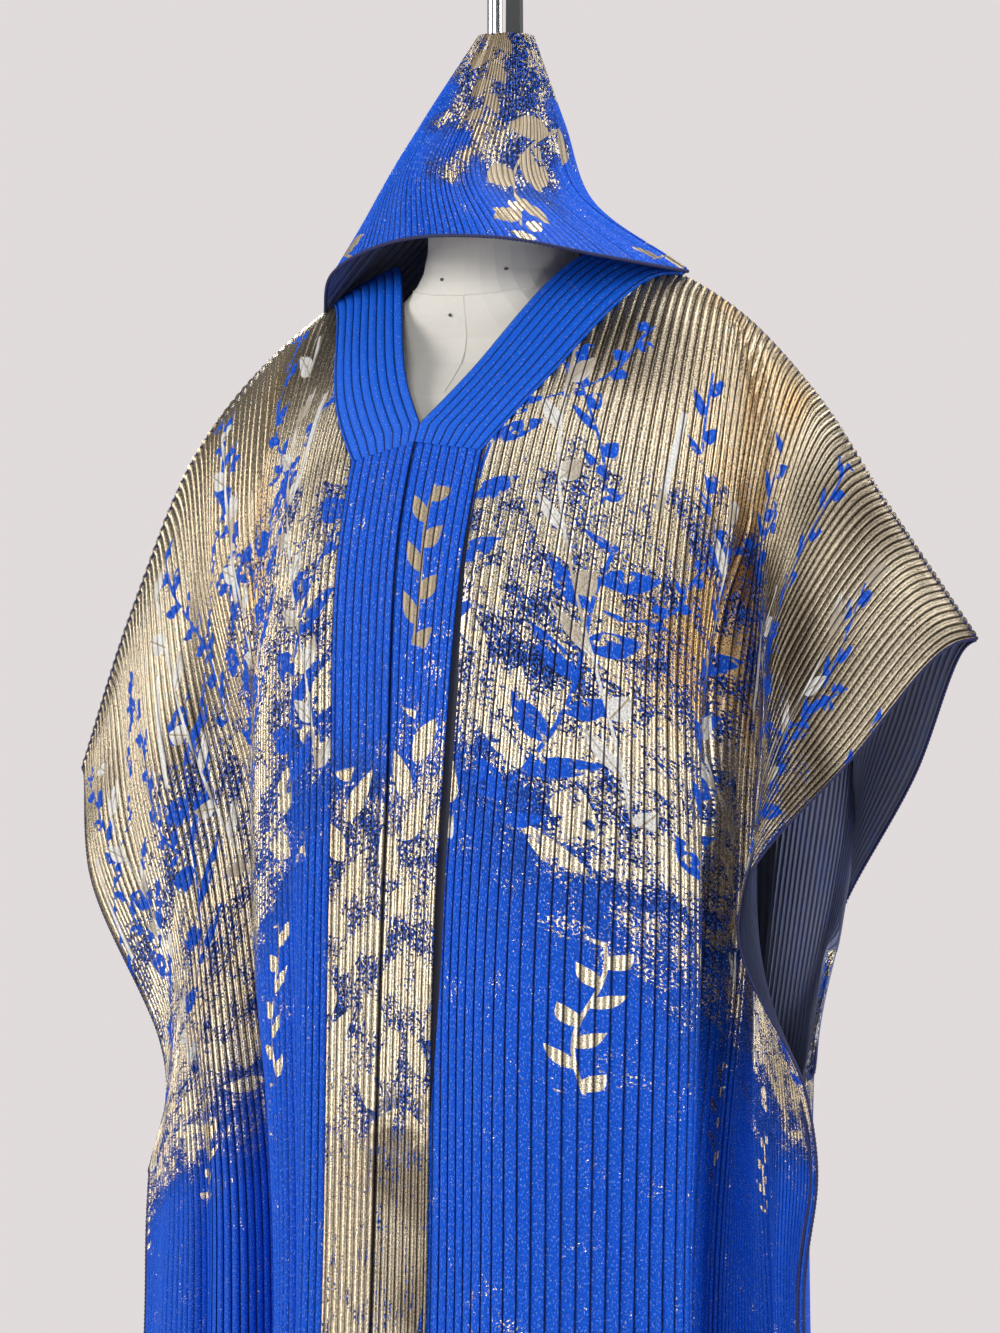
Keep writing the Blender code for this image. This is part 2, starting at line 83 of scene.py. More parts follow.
#     drop   centre                 chest                  crest
#            groove                 wing                   edge
FRONT_LEFT = (
    (0.00, (0.000, 0.000, 1.462), (0.100, 0.000, 1.452), (0.188, 0.000, 1.410),
           (0.252, 0.000, 1.348), (0.307, 0.004, 1.268), (0.373, 0.011, 1.173)),
    (0.13, (0.000, -0.098, 1.362), (0.102, -0.092, 1.352), (0.204, -0.070, 1.302),
           (0.243, -0.060, 1.250), (0.250, -0.045, 1.172), (0.298, -0.038, 1.090)),
    (0.26, (0.000, -0.146, 1.262), (0.100, -0.140, 1.236), (0.208, -0.104, 1.172),
           (0.214, -0.030, 1.130), (0.232, -0.056, 1.068), (0.229, -0.073, 0.998)),
    (0.46, (0.000, -0.167, 1.055), (0.088, -0.162, 1.035), (0.206, -0.098, 0.990),
           (0.196, -0.012, 0.960), (0.226, -0.050, 0.905), (0.272, -0.061, 0.852)),
    (0.82, (0.000, -0.188, 0.700), (0.086, -0.174, 0.700), (0.194, -0.088, 0.700),
           (0.178, -0.018, 0.700), (0.226, -0.040, 0.700), (0.267, -0.057, 0.700)),
    (HEM_DROP, (0.000, -0.226, 0.058), (0.100, -0.214, 0.058), (0.218, -0.124, 0.058),
               (0.205, -0.030, 0.058), (0.262, -0.050, 0.058), (0.300, -0.064, 0.058)),
)
FRONT_RIGHT = (
    (0.00, (0.000, 0.000, 1.462), (0.100, 0.000, 1.446), (0.200, 0.000, 1.390),
           (0.272, 0.000, 1.318), (0.332, 0.004, 1.206), (0.392, 0.016, 1.074)),
    (0.13, (0.000, -0.098, 1.362), (0.100, -0.094, 1.340), (0.168, -0.082, 1.285),
           (0.226, -0.052, 1.212), (0.290, -0.034, 1.092), (0.362, -0.014, 0.990)),
    (0.26, (0.000, -0.146, 1.262), (0.096, -0.138, 1.228), (0.154, -0.106, 1.160),
           (0.188, -0.052, 1.090), (0.246, -0.058, 0.978), (0.281, -0.040, 0.872)),
    (0.46, (0.000, -0.167, 1.055), (0.086, -0.160, 1.030), (0.147, -0.116, 0.975),
           (0.168, -0.036, 0.910), (0.222, -0.068, 0.842), (0.289, -0.042, 0.768)),
    (0.82, (0.000, -0.188, 0.700), (0.080, -0.170, 0.700), (0.112, -0.126, 0.690),
           (0.142, -0.040, 0.680), (0.206, -0.084, 0.665), (0.292, -0.044, 0.640)),
    (HEM_DROP, (0.000, -0.226, 0.058), (0.096, -0.210, 0.058), (0.140, -0.152, 0.058),
               (0.170, -0.056, 0.058), (0.230, -0.094, 0.058), (0.312, -0.052, 0.058)),
)
BACK_LEFT = (
    FRONT_LEFT[0],
    (0.13, (0.000, 0.088, 1.372), (0.100, 0.090, 1.362), (0.202, 0.066, 1.304),
           (0.244, 0.060, 1.254), (0.262, 0.062, 1.184), (0.302, 0.064, 1.078)),
    (0.26, (0.000, 0.130, 1.252), (0.100, 0.138, 1.240), (0.204, 0.104, 1.180),
           (0.214, 0.052, 1.132), (0.238, 0.082, 1.062), (0.226, 0.086, 0.966)),
    (0.46, (0.000, 0.148, 1.050), (0.088, 0.154, 1.036), (0.192, 0.108, 0.990),
           (0.196, 0.044, 0.955), (0.232, 0.040, 0.900), None),
    (0.82, (0.000, 0.164, 0.700), (0.090, 0.166, 0.700), (0.188, 0.106, 0.700),
           (0.182, 0.040, 0.700), (0.236, 0.020, 0.700), None),
    (HEM_DROP, (0.000, 0.204, 0.058), (0.104, 0.198, 0.058), (0.212, 0.128, 0.058),
               (0.204, 0.050, 0.058), (0.268, 0.020, 0.058), None),
)
BACK_RIGHT = (
    FRONT_RIGHT[0],
    (0.13, (0.000, 0.088, 1.372), (0.100, 0.090, 1.354), (0.186, 0.070, 1.290),
           (0.240, 0.058, 1.214), (0.300, 0.056, 1.098), (0.362, 0.060, 0.984)),
    (0.26, (0.000, 0.130, 1.252), (0.100, 0.138, 1.234), (0.184, 0.106, 1.166),
           (0.206, 0.058, 1.094), (0.256, 0.078, 0.980), (0.274, 0.070, 0.864)),
    (0.46, (0.000, 0.148, 1.050), (0.088, 0.154, 1.032), (0.176, 0.110, 0.975),
           (0.184, 0.048, 0.915), (0.236, 0.040, 0.842), None),
    (0.82, (0.000, 0.164, 0.700), (0.090, 0.166, 0.700), (0.172, 0.108, 0.690),
           (0.176, 0.042, 0.680), (0.240, 0.026, 0.665), None),
    (HEM_DROP, (0.000, 0.204, 0.058), (0.104, 0.198, 0.058), (0.206, 0.128, 0.058),
               (0.200, 0.050, 0.058), (0.268, 0.022, 0.058), None),
)

HOOD_PEAK = (0.001, 0.000, 1.612)
HOOD_HOLE = 0.0205
HOOD_LIFT = 0.0042
HOOD_SECTIONS = (
    # down  left   right  front  back
    (0.00, HOOD_HOLE, HOOD_HOLE, HOOD_HOLE, HOOD_HOLE),
    (0.36, 0.042, 0.062, 0.056, 0.048),
    (0.68, 0.062, 0.092, 0.092, 0.074),
)
HOOD_FACING = 300.0        # direction that the flat layout of the hood is opened out from
HOOD_UNROLL = 0.62         # share of a full turn that the hood takes when it is opened out
HOOD_RIM = (
    # degrees  x       y       z
    (180.0, -0.153, -0.004, 1.4120),
    (212.0, -0.112, -0.058, 1.4400),
    (250.0, -0.026, -0.102, 1.4570),
    (286.0, 0.062, -0.120, 1.4530),
    (325.0, 0.126, -0.082, 1.4400),
    (360.0, 0.153, -0.004, 1.4340),
)

# ---- creases, ribs, stitches and seams, which only the looks have ---------------------------

# Main creases: from and to (reach, drop), half width, height; minus is a trough
CREASES = {
    "front_left": (
        ((0.190, 0.012), (0.245, 0.210), 0.013, 0.0055),
        ((0.206, 0.012), (0.270, 0.100), 0.011, -0.0065),
        ((0.262, 0.080), (0.256, 0.360), 0.015, -0.0170),
        ((0.345, 0.040), (0.340, 0.210), 0.026, 0.0060),
        ((0.300, 0.030), (0.310, 0.160), 0.012, 0.0035),
        ((0.400, 0.020), (0.420, 0.210), 0.013, -0.0040),
        ((0.480, 0.015), (0.470, 0.200), 0.026, 0.0055),
        ((0.238, 0.200), (0.240, 1.100), 0.018, -0.0230),
        ((0.110, 0.480), (0.125, 1.440), 0.026, 0.0045),
        ((0.162, 0.560), (0.155, 1.430), 0.016, -0.0060),
        ((0.190, 0.300), (0.196, 1.440), 0.016, 0.0070),
        ((0.076, 0.620), (0.078, 1.430), 0.012, -0.0035),
        ((0.470, 0.500), (0.450, 1.420), 0.022, 0.0050),
        ((0.420, 0.480), (0.405, 1.420), 0.014, -0.0050),
    ),
    "front_right": (
        ((0.150, 0.015), (0.185, 0.250), 0.012, 0.0040),
        ((0.190, 0.020), (0.222, 0.330), 0.014, -0.0075),
        ((0.255, 0.015), (0.285, 0.300), 0.022, 0.0060),
        ((0.330, 0.012), (0.345, 0.260), 0.014, -0.0045),
        ((0.395, 0.020), (0.400, 0.300), 0.024, 0.0060),
        ((0.455, 0.020), (0.470, 0.220), 0.013, -0.0040),
        ((0.510, 0.020), (0.500, 0.260), 0.020, 0.0040),
        ((0.105, 0.400), (0.098, 1.440), 0.014, -0.0085),
        ((0.078, 0.400), (0.072, 1.440), 0.012, 0.0035),
        ((0.150, 0.420), (0.145, 1.430), 0.020, 0.0045),
        ((0.360, 0.380), (0.365, 1.440), 0.022, 0.0095),
        ((0.410, 0.380), (0.415, 1.440), 0.015, -0.0110),
        ((0.470, 0.400), (0.475, 1.440), 0.024, 0.0085),
        ((0.310, 0.440), (0.315, 1.440), 0.014, -0.0100),
    ),
    "back_left": (
        ((0.090, 0.200), (0.100, 1.420), 0.034, 0.0050),
        ((0.040, 0.450), (0.045, 1.430), 0.022, -0.0045),
        ((0.220, 0.020), (0.270, 0.260), 0.014, 0.0040),
        ((0.360, 0.060), (0.340, 0.280), 0.028, 0.0045),
        ((0.450, 0.060), (0.420, 0.300), 0.020, -0.0040),
        ((0.160, 0.500), (0.150, 1.400), 0.020, -0.0040),
    ),
    "back_right": (
        ((0.110, 0.240), (0.095, 1.420), 0.030, 0.0050),
        ((0.050, 0.600), (0.040, 1.430), 0.020, -0.0045),
        ((0.215, 0.020), (0.260, 0.280), 0.014, 0.0040),
        ((0.330, 0.050), (0.320, 0.260), 0.026, 0.0045),
        ((0.430, 0.060), (0.440, 0.320), 0.022, -0.0040),
        ((0.165, 0.450), (0.160, 1.400), 0.022, -0.0040),
    ),
}

# One rib: how far across, and height between crease (0) and crown (1)
RIB_PROFILE = ((0.0, 0.0), (0.17, 0.74), (0.50, 1.0), (0.83, 0.74))
EDGE_RIB_HEIGHT = 0.4      # height of a cut edge, in the same measure
CREASE_ROOM = 0.002        # how far the ribs' crowns lie under the CAD surface, to leave room
CLOSE_ROWS_DROP = 0.56     # rows are close down to here, and three times as wide below
NECKBAND_WIDTH = 0.058
NECKBAND_SLANT = 1.25      # length along a neckband for each metre that it drops
BAND_THICKNESS = 0.0016
SLIT_FACE_DEPTH = 0.0036   # how far the slit's near-black sheet of painted shade lies behind the front
BACK_PRINT_SHIFT = 3.0     # the back's places in the print, away from the front's
HOOD_COLUMNS = 420
HOOD_ROWS = 46
HOOD_SLANT = 0.2           # length of the hood's ribs in their flat map

STITCH_START = 0.004       # how far from a corner a stitched edge begins
EDGE_STITCH_RADIUS = 0.0011
HOOD_STITCH_RADIUS = 0.0013
HOOD_STITCH_SINK = 0.0008
SHOULDER_STITCH_DROP = 0.0015

NECK_SEAM_HEIGHT = 1.432
NECK_SEAM_TILT = 0.013
FRONT_SEAM_TOP = 1.418
BACK_SEAM_TOP = 1.444
CENTRE_SEAM_FOOT = 0.83
PIN_PLACES = ((-0.020, 1.431), (-0.012, 1.405), (0.030, 1.437))   # x, z on the form's front
PIN_RADIUS = 0.0014
FLOOR_RADIUS = 3.6


# ---- settings that a user would change ------------------------------------------------------

def length(name, description, default, **extra):
    return bpy.props.FloatProperty(name=name, description=description, default=default,
                                   unit="LENGTH", subtype="DISTANCE", precision=4, **extra)


def colour(name, description, default):
    return bpy.props.FloatVectorProperty(name=name, description=description, default=default,
                                         size=3, min=0.0, max=1.0, subtype="COLOR")


class RobeCloth(bpy.types.PropertyGroup):
    rib_pitch: length("Rib pitch", "Width of one pressed rib of the panels", 0.0068)
    rib_depth: length("Rib depth", "Height of a rib's crown above its crease", 0.0020)
    band_rib_pitch: length("Band rib pitch", "Width of one rib on the bands", 0.0070)
    band_rib_depth: length("Band rib depth", "Height of a rib on the bands", 0.0013)
    thickness: length("Cloth thickness", "Thickness of the ribbed cloth", 0.0011)
    row_step: length("Row step", "Mesh step along the ribs", 0.0090)
    stitch_pitch: length("Stitch pitch", "Step of the overlock stitches", 0.0032)


class RobeColours(bpy.types.PropertyGroup):
    blue: colour("Royal blue", "The cloth's ground colour", (0.000, 0.092, 0.680))
    # painted shade: the colour that darkens the creases between ribs on the blue cloth
    crease_shade_blue: colour("Painted crease shade", "Blue in the creases", (0.001, 0.005, 0.055))
    gold: colour("Champagne gold", "The metallic yarn", (0.800, 0.700, 0.530))
    orange_gold: colour("Orange gold", "Warmer stretches of the metallic yarn", (0.620, 0.370, 0.130))
    taupe: colour("Taupe", "Greyer stretches of the metallic yarn", (0.230, 0.188, 0.138))
    sprig: colour("Sprig", "The matt taupe sprigs of hood and placket", (0.430, 0.345, 0.235))
    silver: colour("Silver", "The silver-white leaves", (0.780, 0.765, 0.730))
    wrong_side: colour("Wrong side", "Dusty blue of the cloth's inner face", (0.120, 0.150, 0.290))
    thread: colour("Stitching", "Overlock thread", (0.006, 0.008, 0.050))


class FormLooks(bpy.types.PropertyGroup):
    canvas: colour("Canvas", "The form's cloth cover", (0.880, 0.850, 0.780))
    steel: colour("Stand", "Painted steel of the base", (0.120, 0.120, 0.125))
    seam_width: length("Seam width", "Width of the form's raised seams", 0.0012)


class StudioSettings(bpy.types.PropertyGroup):
    turn: bpy.props.FloatProperty(name="Camera turn", description="Angle round to the robe's left",
                                  default=math.radians(30.0), subtype="ANGLE", unit="ROTATION")
    distance: length("Camera distance", "From the form's axis to the lens", 3.2)
    height: length("Camera height", "Height of the lens and of its aim", 1.152)
    view_height: length("View height", "Height of the view at the axis", 0.973)
    aim_offset: length("Aim offset", "How far left of the axis the camera aims", 0.0036)


# ---- smooth surfaces ------------------------------------------------------------------------

def tangents_of(stations, values, axis):
    """Slopes of a smooth curve at its table rows, along one axis of the values."""
    values = np.moveaxis(values, axis, 0)
    gaps = np.diff(stations)
    slopes = np.diff(values, axis=0) / gaps.reshape((-1,) + (1,) * (values.ndim - 1))
    out = np.empty_like(values)
    out[0] = slopes[0]
    out[-1] = slopes[-1]
    for row in range(1, len(stations) - 1):
        share = gaps[row - 1] / (gaps[row - 1] + gaps[row])
        out[row] = slopes[row - 1] * (1 - share) + slopes[row] * share
    return np.moveaxis(out, 0, axis)


def blend_span(start, end, start_slope, end_slope, local, step):
    """A cubic between two rows with the given slopes."""
    square = local * local
    cube = square * local
    return ((2 * cube - 3 * square + 1) * start + (cube - 2 * square + local) * step * start_slope
            + (3 * square - 2 * cube) * end + (cube - square) * step * end_slope)


def spans_of(stations, at):
    stations = np.asarray(stations, float)
    at = np.clip(at, stations[0], stations[-1])
    span = np.clip(np.searchsorted(stations, at, side="right") - 1, 0, len(stations) - 2)
    step = np.diff(stations)[span]
    return span, (at - stations[span]) / step, step


def smooth(stations, values, at):
    """Values on a smooth curve through (station, value) rows, at one or many places."""
    values = np.asarray(values, float)
    at = np.asarray(at, float)
    slopes = tangents_of(np.asarray(stations, float), values, 0)
    span, local, step = spans_of(stations, at)
    shape = at.shape + (1,) * (values.ndim - 1)
    return blend_span(values[span], values[span + 1], slopes[span], slopes[span + 1],
                      local.reshape(shape), step.reshape(shape))


def smooth_across(stations, lines, at):
    """For each row of lines (row, station, xyz), the point at that row's own place."""
    slopes = tangents_of(np.asarray(stations, float), lines, 1)
    span, local, step = spans_of(stations, at)
    row = np.arange(len(at))
    return blend_span(lines[row, span], lines[row, span + 1], slopes[row, span],
                      slopes[row, span + 1], local[:, None], step[:, None])


class Panel:
    """One side of the front or back: a smooth surface by reach from the centre and drop."""

    def __init__(self, name, table, side, facing, partner=None):
        self.name = name
        self.side = side
        self.facing = facing
        self.partner = partner
        rows = []
        for index, row in enumerate(table):
            points = [list(point) for point in row[1:] if point is not None]
            if len(points) < len(LINE_REACH):
                sewn = list(partner.table[index][-1])
                sewn[1] += SIDE_SEAM_SPREAD
                points.append(sewn)
            rows.append(points)
        net = np.array(rows)
        roll = net[0] + (net[1] - net[0]) * ROUNDING_SHARE
        roll[:, 2] += ROUNDING_LIFT
        self.table = table
        self.drops = [0.0, ROUNDING_DROP] + [row[0] for row in table[1:]]
        self.net = np.concatenate([net[:1], roll[None], net[1:]])
        self.net[0, :, 1] += facing * SEAM_GAP / 2

    def lines(self, drop):
        lines = smooth(self.drops, self.net, drop)
        if self.partner is not None:
            sewn = drop >= CUFF_DROP
            lines[sewn, -1] = self.partner.lines(drop[sewn])[:, -1]
            lines[sewn, -1, 1] += SIDE_SEAM_SPREAD
        return lines

    def at(self, reach, drop):
        reach = np.clip(reach, 0.0, HALF_CUT)
        drop = np.clip(drop, 0.0, HEM_DROP)
        out = smooth_across(LINE_REACH, self.lines(drop.ravel()), reach.ravel())
        out[:, 0] *= self.side
        return out.reshape(reach.shape + (3,))

    def normals(self, reach, drop):
        across = self.at(reach + PROBE, drop) - self.at(reach - PROBE, drop)
        along = self.at(reach, drop + PROBE) - self.at(reach, drop - PROBE)
        normals = np.cross(across, along) * self.side * self.facing
        normals /= np.linalg.norm(normals, axis=-1, keepdims=True)
        normals[..., 0] *= np.clip(reach / SQUARE_END, 0.0, 1.0)
        normals[..., 1] *= np.clip(drop / SQUARE_END, 0.0, 1.0)
        return normals / np.linalg.norm(normals, axis=-1, keepdims=True)


def make_panels():
    front_left = Panel("front_left", FRONT_LEFT, 1, -1)
    front_right = Panel("front_right", FRONT_RIGHT, -1, -1)
    back_left = Panel("back_left", BACK_LEFT, 1, 1, partner=front_left)
    back_right = Panel("back_right", BACK_RIGHT, -1, 1, partner=front_right)
    return {panel.name: panel for panel in (front_left, front_right, back_left, back_right)}


PANELS = make_panels()


def band_outer(drop):
    share = np.clip(drop / MITRE_DROP, 0.0, 1.0)
    return NECK_HALF + (PLACKET_HALF - NECK_HALF) * share


def band_inner(drop):
    share = np.clip(drop / VEE_DROP, 0.0, 1.0)
    return BAND_INNER_HALF * (1.0 - share) + SEAM_GAP / 2


def back_neckline(reach):
    inside = np.clip(1.0 - (np.abs(reach) / NECK_HALF) ** 2, 0.0, 1.0)
    return BACK_NECK_DEPTH * np.sqrt(inside)


def crease_height(name, reach, drop):
    """Height of the hand-placed creases of a panel at each place."""
    height = np.zeros_like(reach)
    for (reach_a, drop_a), (reach_b, drop_b), half, rise in CREASES[name]:
        line = np.array([reach_b - reach_a, drop_b - drop_a])
        run = np.linalg.norm(line)
        line /= run
        along = (reach - reach_a) * line[0] + (drop - drop_a) * line[1]
        aside = (reach - reach_a) * line[1] - (drop - drop_a) * line[0]
        swell = np.clip(along / run, 0.0, 1.0)
        swell = np.sin(math.pi * swell) ** 0.7
        height += rise * swell * np.exp(-(aside / half) ** 2)
    return height


# ---- meshes ---------------------------------------------------------------------------------

def sheet_mesh(name, outer, inner, cut, wrapped=False):
    """A closed thin sheet between two grids. The cut map holds flat places in metres.

    Faces of the inner skin take material 1, all others material 0.
    """
    rows, columns, _ = outer.shape
    count = rows * columns
    index = np.arange(count).reshape(rows, columns)
    if wrapped:
        index = np.concatenate([index, index[:, :1]], axis=1)
    quads = np.stack([index[:-1, :-1], index[1:, :-1], index[1:, 1:], index[:-1, 1:]], axis=-1)
    quads = quads.reshape(-1, 4)
    rims = [(index[0, :-1], index[0, 1:]), (index[-1, 1:], index[-1, :-1])]
    if not wrapped:
        rims += [(index[1:, 0], index[:-1, 0]), (index[:-1, -1], index[1:, -1])]
    edge = [np.stack([a, b, b + count, a + count], axis=-1) for a, b in rims]
    faces = np.concatenate([quads, quads[:, ::-1] + count] + edge)
    across = outer[0, 1] - outer[0, 0]
    along = outer[1, 0] - outer[0, 0]
    if np.dot(np.cross(along, across), outer[0, 0] - inner[0, 0]) < 0:
        faces = faces[:, ::-1]
    mesh = bpy.data.meshes.new(name)
    vertices = np.concatenate([outer.reshape(-1, 3), inner.reshape(-1, 3)])
    mesh.vertices.add(len(vertices))
    mesh.vertices.foreach_set("co", vertices.astype(np.float32).ravel())
    mesh.loops.add(faces.size)
    mesh.loops.foreach_set("vertex_index", faces.astype(np.int32).ravel())
    mesh.polygons.add(len(faces))
    mesh.polygons.foreach_set("loop_start", np.arange(0, faces.size, 4, dtype=np.int32))
    slots = np.zeros(len(faces), dtype=np.int32)
    slots[len(quads):2 * len(quads)] = 1
    mesh.polygons.foreach_set("material_index", slots)
    mesh.update(calc_edges=True)
    layer = mesh.uv_layers.new(name="cut")
    flat = np.tile(cut.reshape(-1, 2), (2, 1))[faces.ravel()]
    if wrapped:
        flat = unwrap_seam(flat.reshape(-1, 4, 2)).reshape(-1, 2)
    layer.uv.foreach_set("vector", flat.astype(np.float32).ravel())
    mesh.shade_smooth()
    mesh.set_sharp_from_angle(angle=math.radians(62.0))
    return mesh


def add_map(mesh, name, grid):
    """A second flat map for a sheet mesh, given at the points of one skin."""
    flat = np.tile(grid.reshape(-1, 2), (2, 1))
    loops = np.empty(len(mesh.loops), dtype=np.int32)
    mesh.loops.foreach_get("vertex_index", loops)
    layer = mesh.uv_layers.new(name=name)
    layer.uv.foreach_set("vector", flat[loops].astype(np.float32).ravel())


def unwrap_seam(flat):
    """Keeps the last column of a wrapped sheet from running back across the whole map."""
    width = flat[..., 0].max() - flat[..., 0].min()
    jump = flat[..., 0].max(axis=1) - flat[..., 0].min(axis=1) > width / 2
    low = flat[jump]
    low[..., 0] = np.where(low[..., 0] < flat[..., 0].min() + width / 2,
                           low[..., 0] + width, low[..., 0])
    flat[jump] = low
    return flat


def rope_mesh(name, runs, radius, pitch, sides=6):
    """Stitched edges: tubes along runs of points, swelling once for each stitch."""
    vertices = []
    faces = []
    turn = np.arange(sides) * math.tau / sides
    for run in runs:
        run = np.asarray(run)
        steps = np.linalg.norm(np.diff(run, axis=0), axis=1)
        along = np.concatenate([[0.0], np.cumsum(steps)])
        rings = max(4, int(along[-1] / pitch * 3))
        place = np.linspace(0.0, along[-1], rings)
        points = np.stack([np.interp(place, along, run[:, axis]) for axis in range(3)], axis=1)
        ahead = np.gradient(points, axis=0)
        ahead /= np.linalg.norm(ahead, axis=1, keepdims=True)
        up = np.where(np.abs(ahead[:, 2:]) > 0.9, (1.0, 0.0, 0.0), (0.0, 0.0, 1.0))
        side = np.cross(ahead, up)
        side /= np.linalg.norm(side, axis=1, keepdims=True)
        over = np.cross(side, ahead)
        swell = radius * (1.0 + 0.22 * np.cos(place / pitch * math.tau))
        ring = (points[:, None] + swell[:, None, None]
                * (side[:, None] * np.cos(turn)[None, :, None]
                   + over[:, None] * np.sin(turn)[None, :, None]))
        first = len(vertices)
        vertices += [tuple(point) for point in ring.reshape(-1, 3)]
        for row in range(rings - 1):
            for spoke in range(sides):
                a = first + row * sides + spoke
                b = first + row * sides + (spoke + 1) % sides
                faces.append((a, b, b + sides, a + sides))
        faces.append(tuple(first + spoke for spoke in reversed(range(sides))))
        faces.append(tuple(first + (rings - 1) * sides + spoke for spoke in range(sides)))
    mesh = bpy.data.meshes.new(name)
    mesh.from_pydata(vertices, [], faces)
    mesh.shade_smooth()
    return mesh


def add_piece(name, mesh, slot, *finishes):
    """A named object in the scene, riding on the frame's body."""
    for finish in finishes:
        mesh.materials.append(material(finish))
    piece = bpy.data.objects.new(name, mesh)
    bpy.context.scene.collection.objects.link(piece)
    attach(piece, "root")
    return piece


def rib_columns(start, end, pitch):
    """Places across a ribbed cloth, a few for each rib, and the rib height at each."""
    places = []
    heights = []
    margin = pitch * 0.08
    for rib in range(math.floor(start / pitch), math.ceil(end / pitch) + 1):
        for share, height in RIB_PROFILE:
            place = (rib + share) * pitch
            if start + margin < place < end - margin:
                places.append(place)
                heights.append(height)
    return (np.array([start] + places + [end]),
            np.array([EDGE_RIB_HEIGHT] + heights + [EDGE_RIB_HEIGHT]))


def row_shares(step):
    """Shares of the way from shoulder to hem: close rows where the cloth bends most."""
    upper = np.arange(0.0, CLOSE_ROWS_DROP, step)
    lower = np.arange(CLOSE_ROWS_DROP, HEM_DROP, step * 3.0)
    return np.concatenate([upper, lower, [HEM_DROP]]) / HEM_DROP


def ribbed_points(panel, reach, drop, heights, depth, thickness, behind=0.0, creased=True):
    """Outer and inner points of ribbed cloth on a panel's surface."""
    base = panel.at(reach, drop)
    normals = panel.normals(reach, drop)
    rise = (heights - 1.0) * depth
    if creased:
        rise = rise + crease_height(panel.name, reach, drop) - CREASE_ROOM
    rise = rise - behind
    outer = base + normals * rise[..., None]
    return outer, outer - normals * thickness


def panel_grid(panel, cloth, start_reach, start_drop):
    """Reach, drop and rib height over a whole panel, ribs kept at constant reach."""
    columns, heights = rib_columns(start_reach, HALF_CUT, cloth.rib_pitch)
    start = start_drop(columns)
    shares = row_shares(cloth.row_step)
    drop = start + (HEM_DROP - start) * shares[:, None]
    reach = np.meshgrid(columns, shares)[0]
    return reach, drop, np.meshgrid(heights, shares)[0]


def front_start(columns):
    share = np.clip((NECK_HALF - columns) / (NECK_HALF - PLACKET_HALF), 0.0, 1.0)
    return MITRE_DROP * share


# ---- colours that stay as they are -----------------------------------------------------------

# painted shade: the dark between the metallic flecks on the blue ground
FLECK_GAP_SHADE = (0.003, 0.004, 0.018)
# painted highlight: pale glints on the blue ground
GLINT_HIGHLIGHT = (0.25, 0.42, 0.90)
# painted shade: near black in the creases between ribs of the metallic yarn
GOLD_CREASE_SHADE = (0.022, 0.015, 0.014)
WEAVE_HEIGHT = 0.00035


# ---- node helpers ---------------------------------------------------------------------------

def arithmetic(operation, swapped=False):
    """A method that makes the maths node for one sign between two fields or numbers."""
    def apply(self, other):
        first, second = (other, self) if swapped else (self, other)
        return self.graph.math(operation, first, second)
    return apply


class Field:
    """A value that changes over the surface, with plain arithmetic."""

    def __init__(self, graph, socket):
        self.graph = graph
        self.socket = socket

    __add__ = arithmetic("ADD")
    __radd__ = arithmetic("ADD", swapped=True)
    __sub__ = arithmetic("SUBTRACT")
    __rsub__ = arithmetic("SUBTRACT", swapped=True)
    __mul__ = arithmetic("MULTIPLY")
    __rmul__ = arithmetic("MULTIPLY", swapped=True)
    __truediv__ = arithmetic("DIVIDE")

    def __abs__(self):
        return self.graph.math("ABSOLUTE", self)


class Graph:
    """Short calls for making and linking shader nodes."""

    def __init__(self, tree):
        self.tree = tree

    def node(self, kind, **values):
        node = self.tree.nodes.new(kind)
        for name, value in values.items():
            setattr(node, name, value)
        return node

    def read(self, node, output=0):
        return Field(self, node.outputs[output])

    def put(self, socket, value):
        if isinstance(value, Field):
            self.tree.links.new(value.socket, socket)
        elif hasattr(value, "__len__") and len(value) == 3 and socket.type == "RGBA":
            socket.default_value = (*value, 1.0)
        else:
            socket.default_value = value

    def fill(self, kind, inputs, output=0, **values):
        """A new node with these inputs, by name or number, and one of its outputs."""
        node = self.node(kind, **values)
        for socket, value in inputs.items():
            self.put(node.inputs[socket], value)
        return self.read(node, output)

    def math(self, operation, a, b=0.0, clamp=False):
        return self.fill("ShaderNodeMath", {0: a, 1: b}, operation=operation, use_clamp=clamp)

    def larger(self, *values):
        return reduce(lambda a, b: self.math("MAXIMUM", a, b), values)

    def smaller(self, a, b):
        return self.math("MINIMUM", a, b)

    def step(self, value, low, high):
        """0 below low, 1 above high, smooth between."""
        return self.fill("ShaderNodeMapRange", {"Value": value, "From Min": low, "From Max": high},
                         "Result", interpolation_type="SMOOTHSTEP")

    def mix(self, share, a, b):
        """Between two colours."""
        return self.fill("ShaderNodeMix", {"Factor": share, 6: a, 7: b}, 2, data_type="RGBA")

    def blend(self, share, a, b):
        """Between two numbers."""
        return self.fill("ShaderNodeMix", {"Factor": share, 2: a, 3: b}, data_type="FLOAT")

    def split(self, vector):
        node = self.node("ShaderNodeSeparateXYZ")
        self.put(node.inputs[0], vector)
        return self.read(node, "X"), self.read(node, "Y")

    def vector(self, operation, a, b):
        return self.fill("ShaderNodeVectorMath", {0: a, 1: b}, operation=operation)

    def scale(self, vector, x, y, z=1.0):
        return self.vector("MULTIPLY", vector, (x, y, z))

    def noise(self, vector, scale, detail=2.0, roughness=0.5, dimensions="2D"):
        return self.fill("ShaderNodeTexNoise", {"Vector": vector, "Scale": scale,
                                                "Detail": detail, "Roughness": roughness},
                         "Fac", noise_dimensions=dimensions)

    def use(self, group, inputs):
        """Places a node group with these inputs. Its outputs come back by name."""
        node = self.node("ShaderNodeGroup", node_tree=group)
        for name, value in inputs.items():
            self.put(node.inputs[name], value)
        return self.outputs(node)

    def outputs(self, node):
        return {socket.name: Field(self, socket) for socket in node.outputs if socket.name}


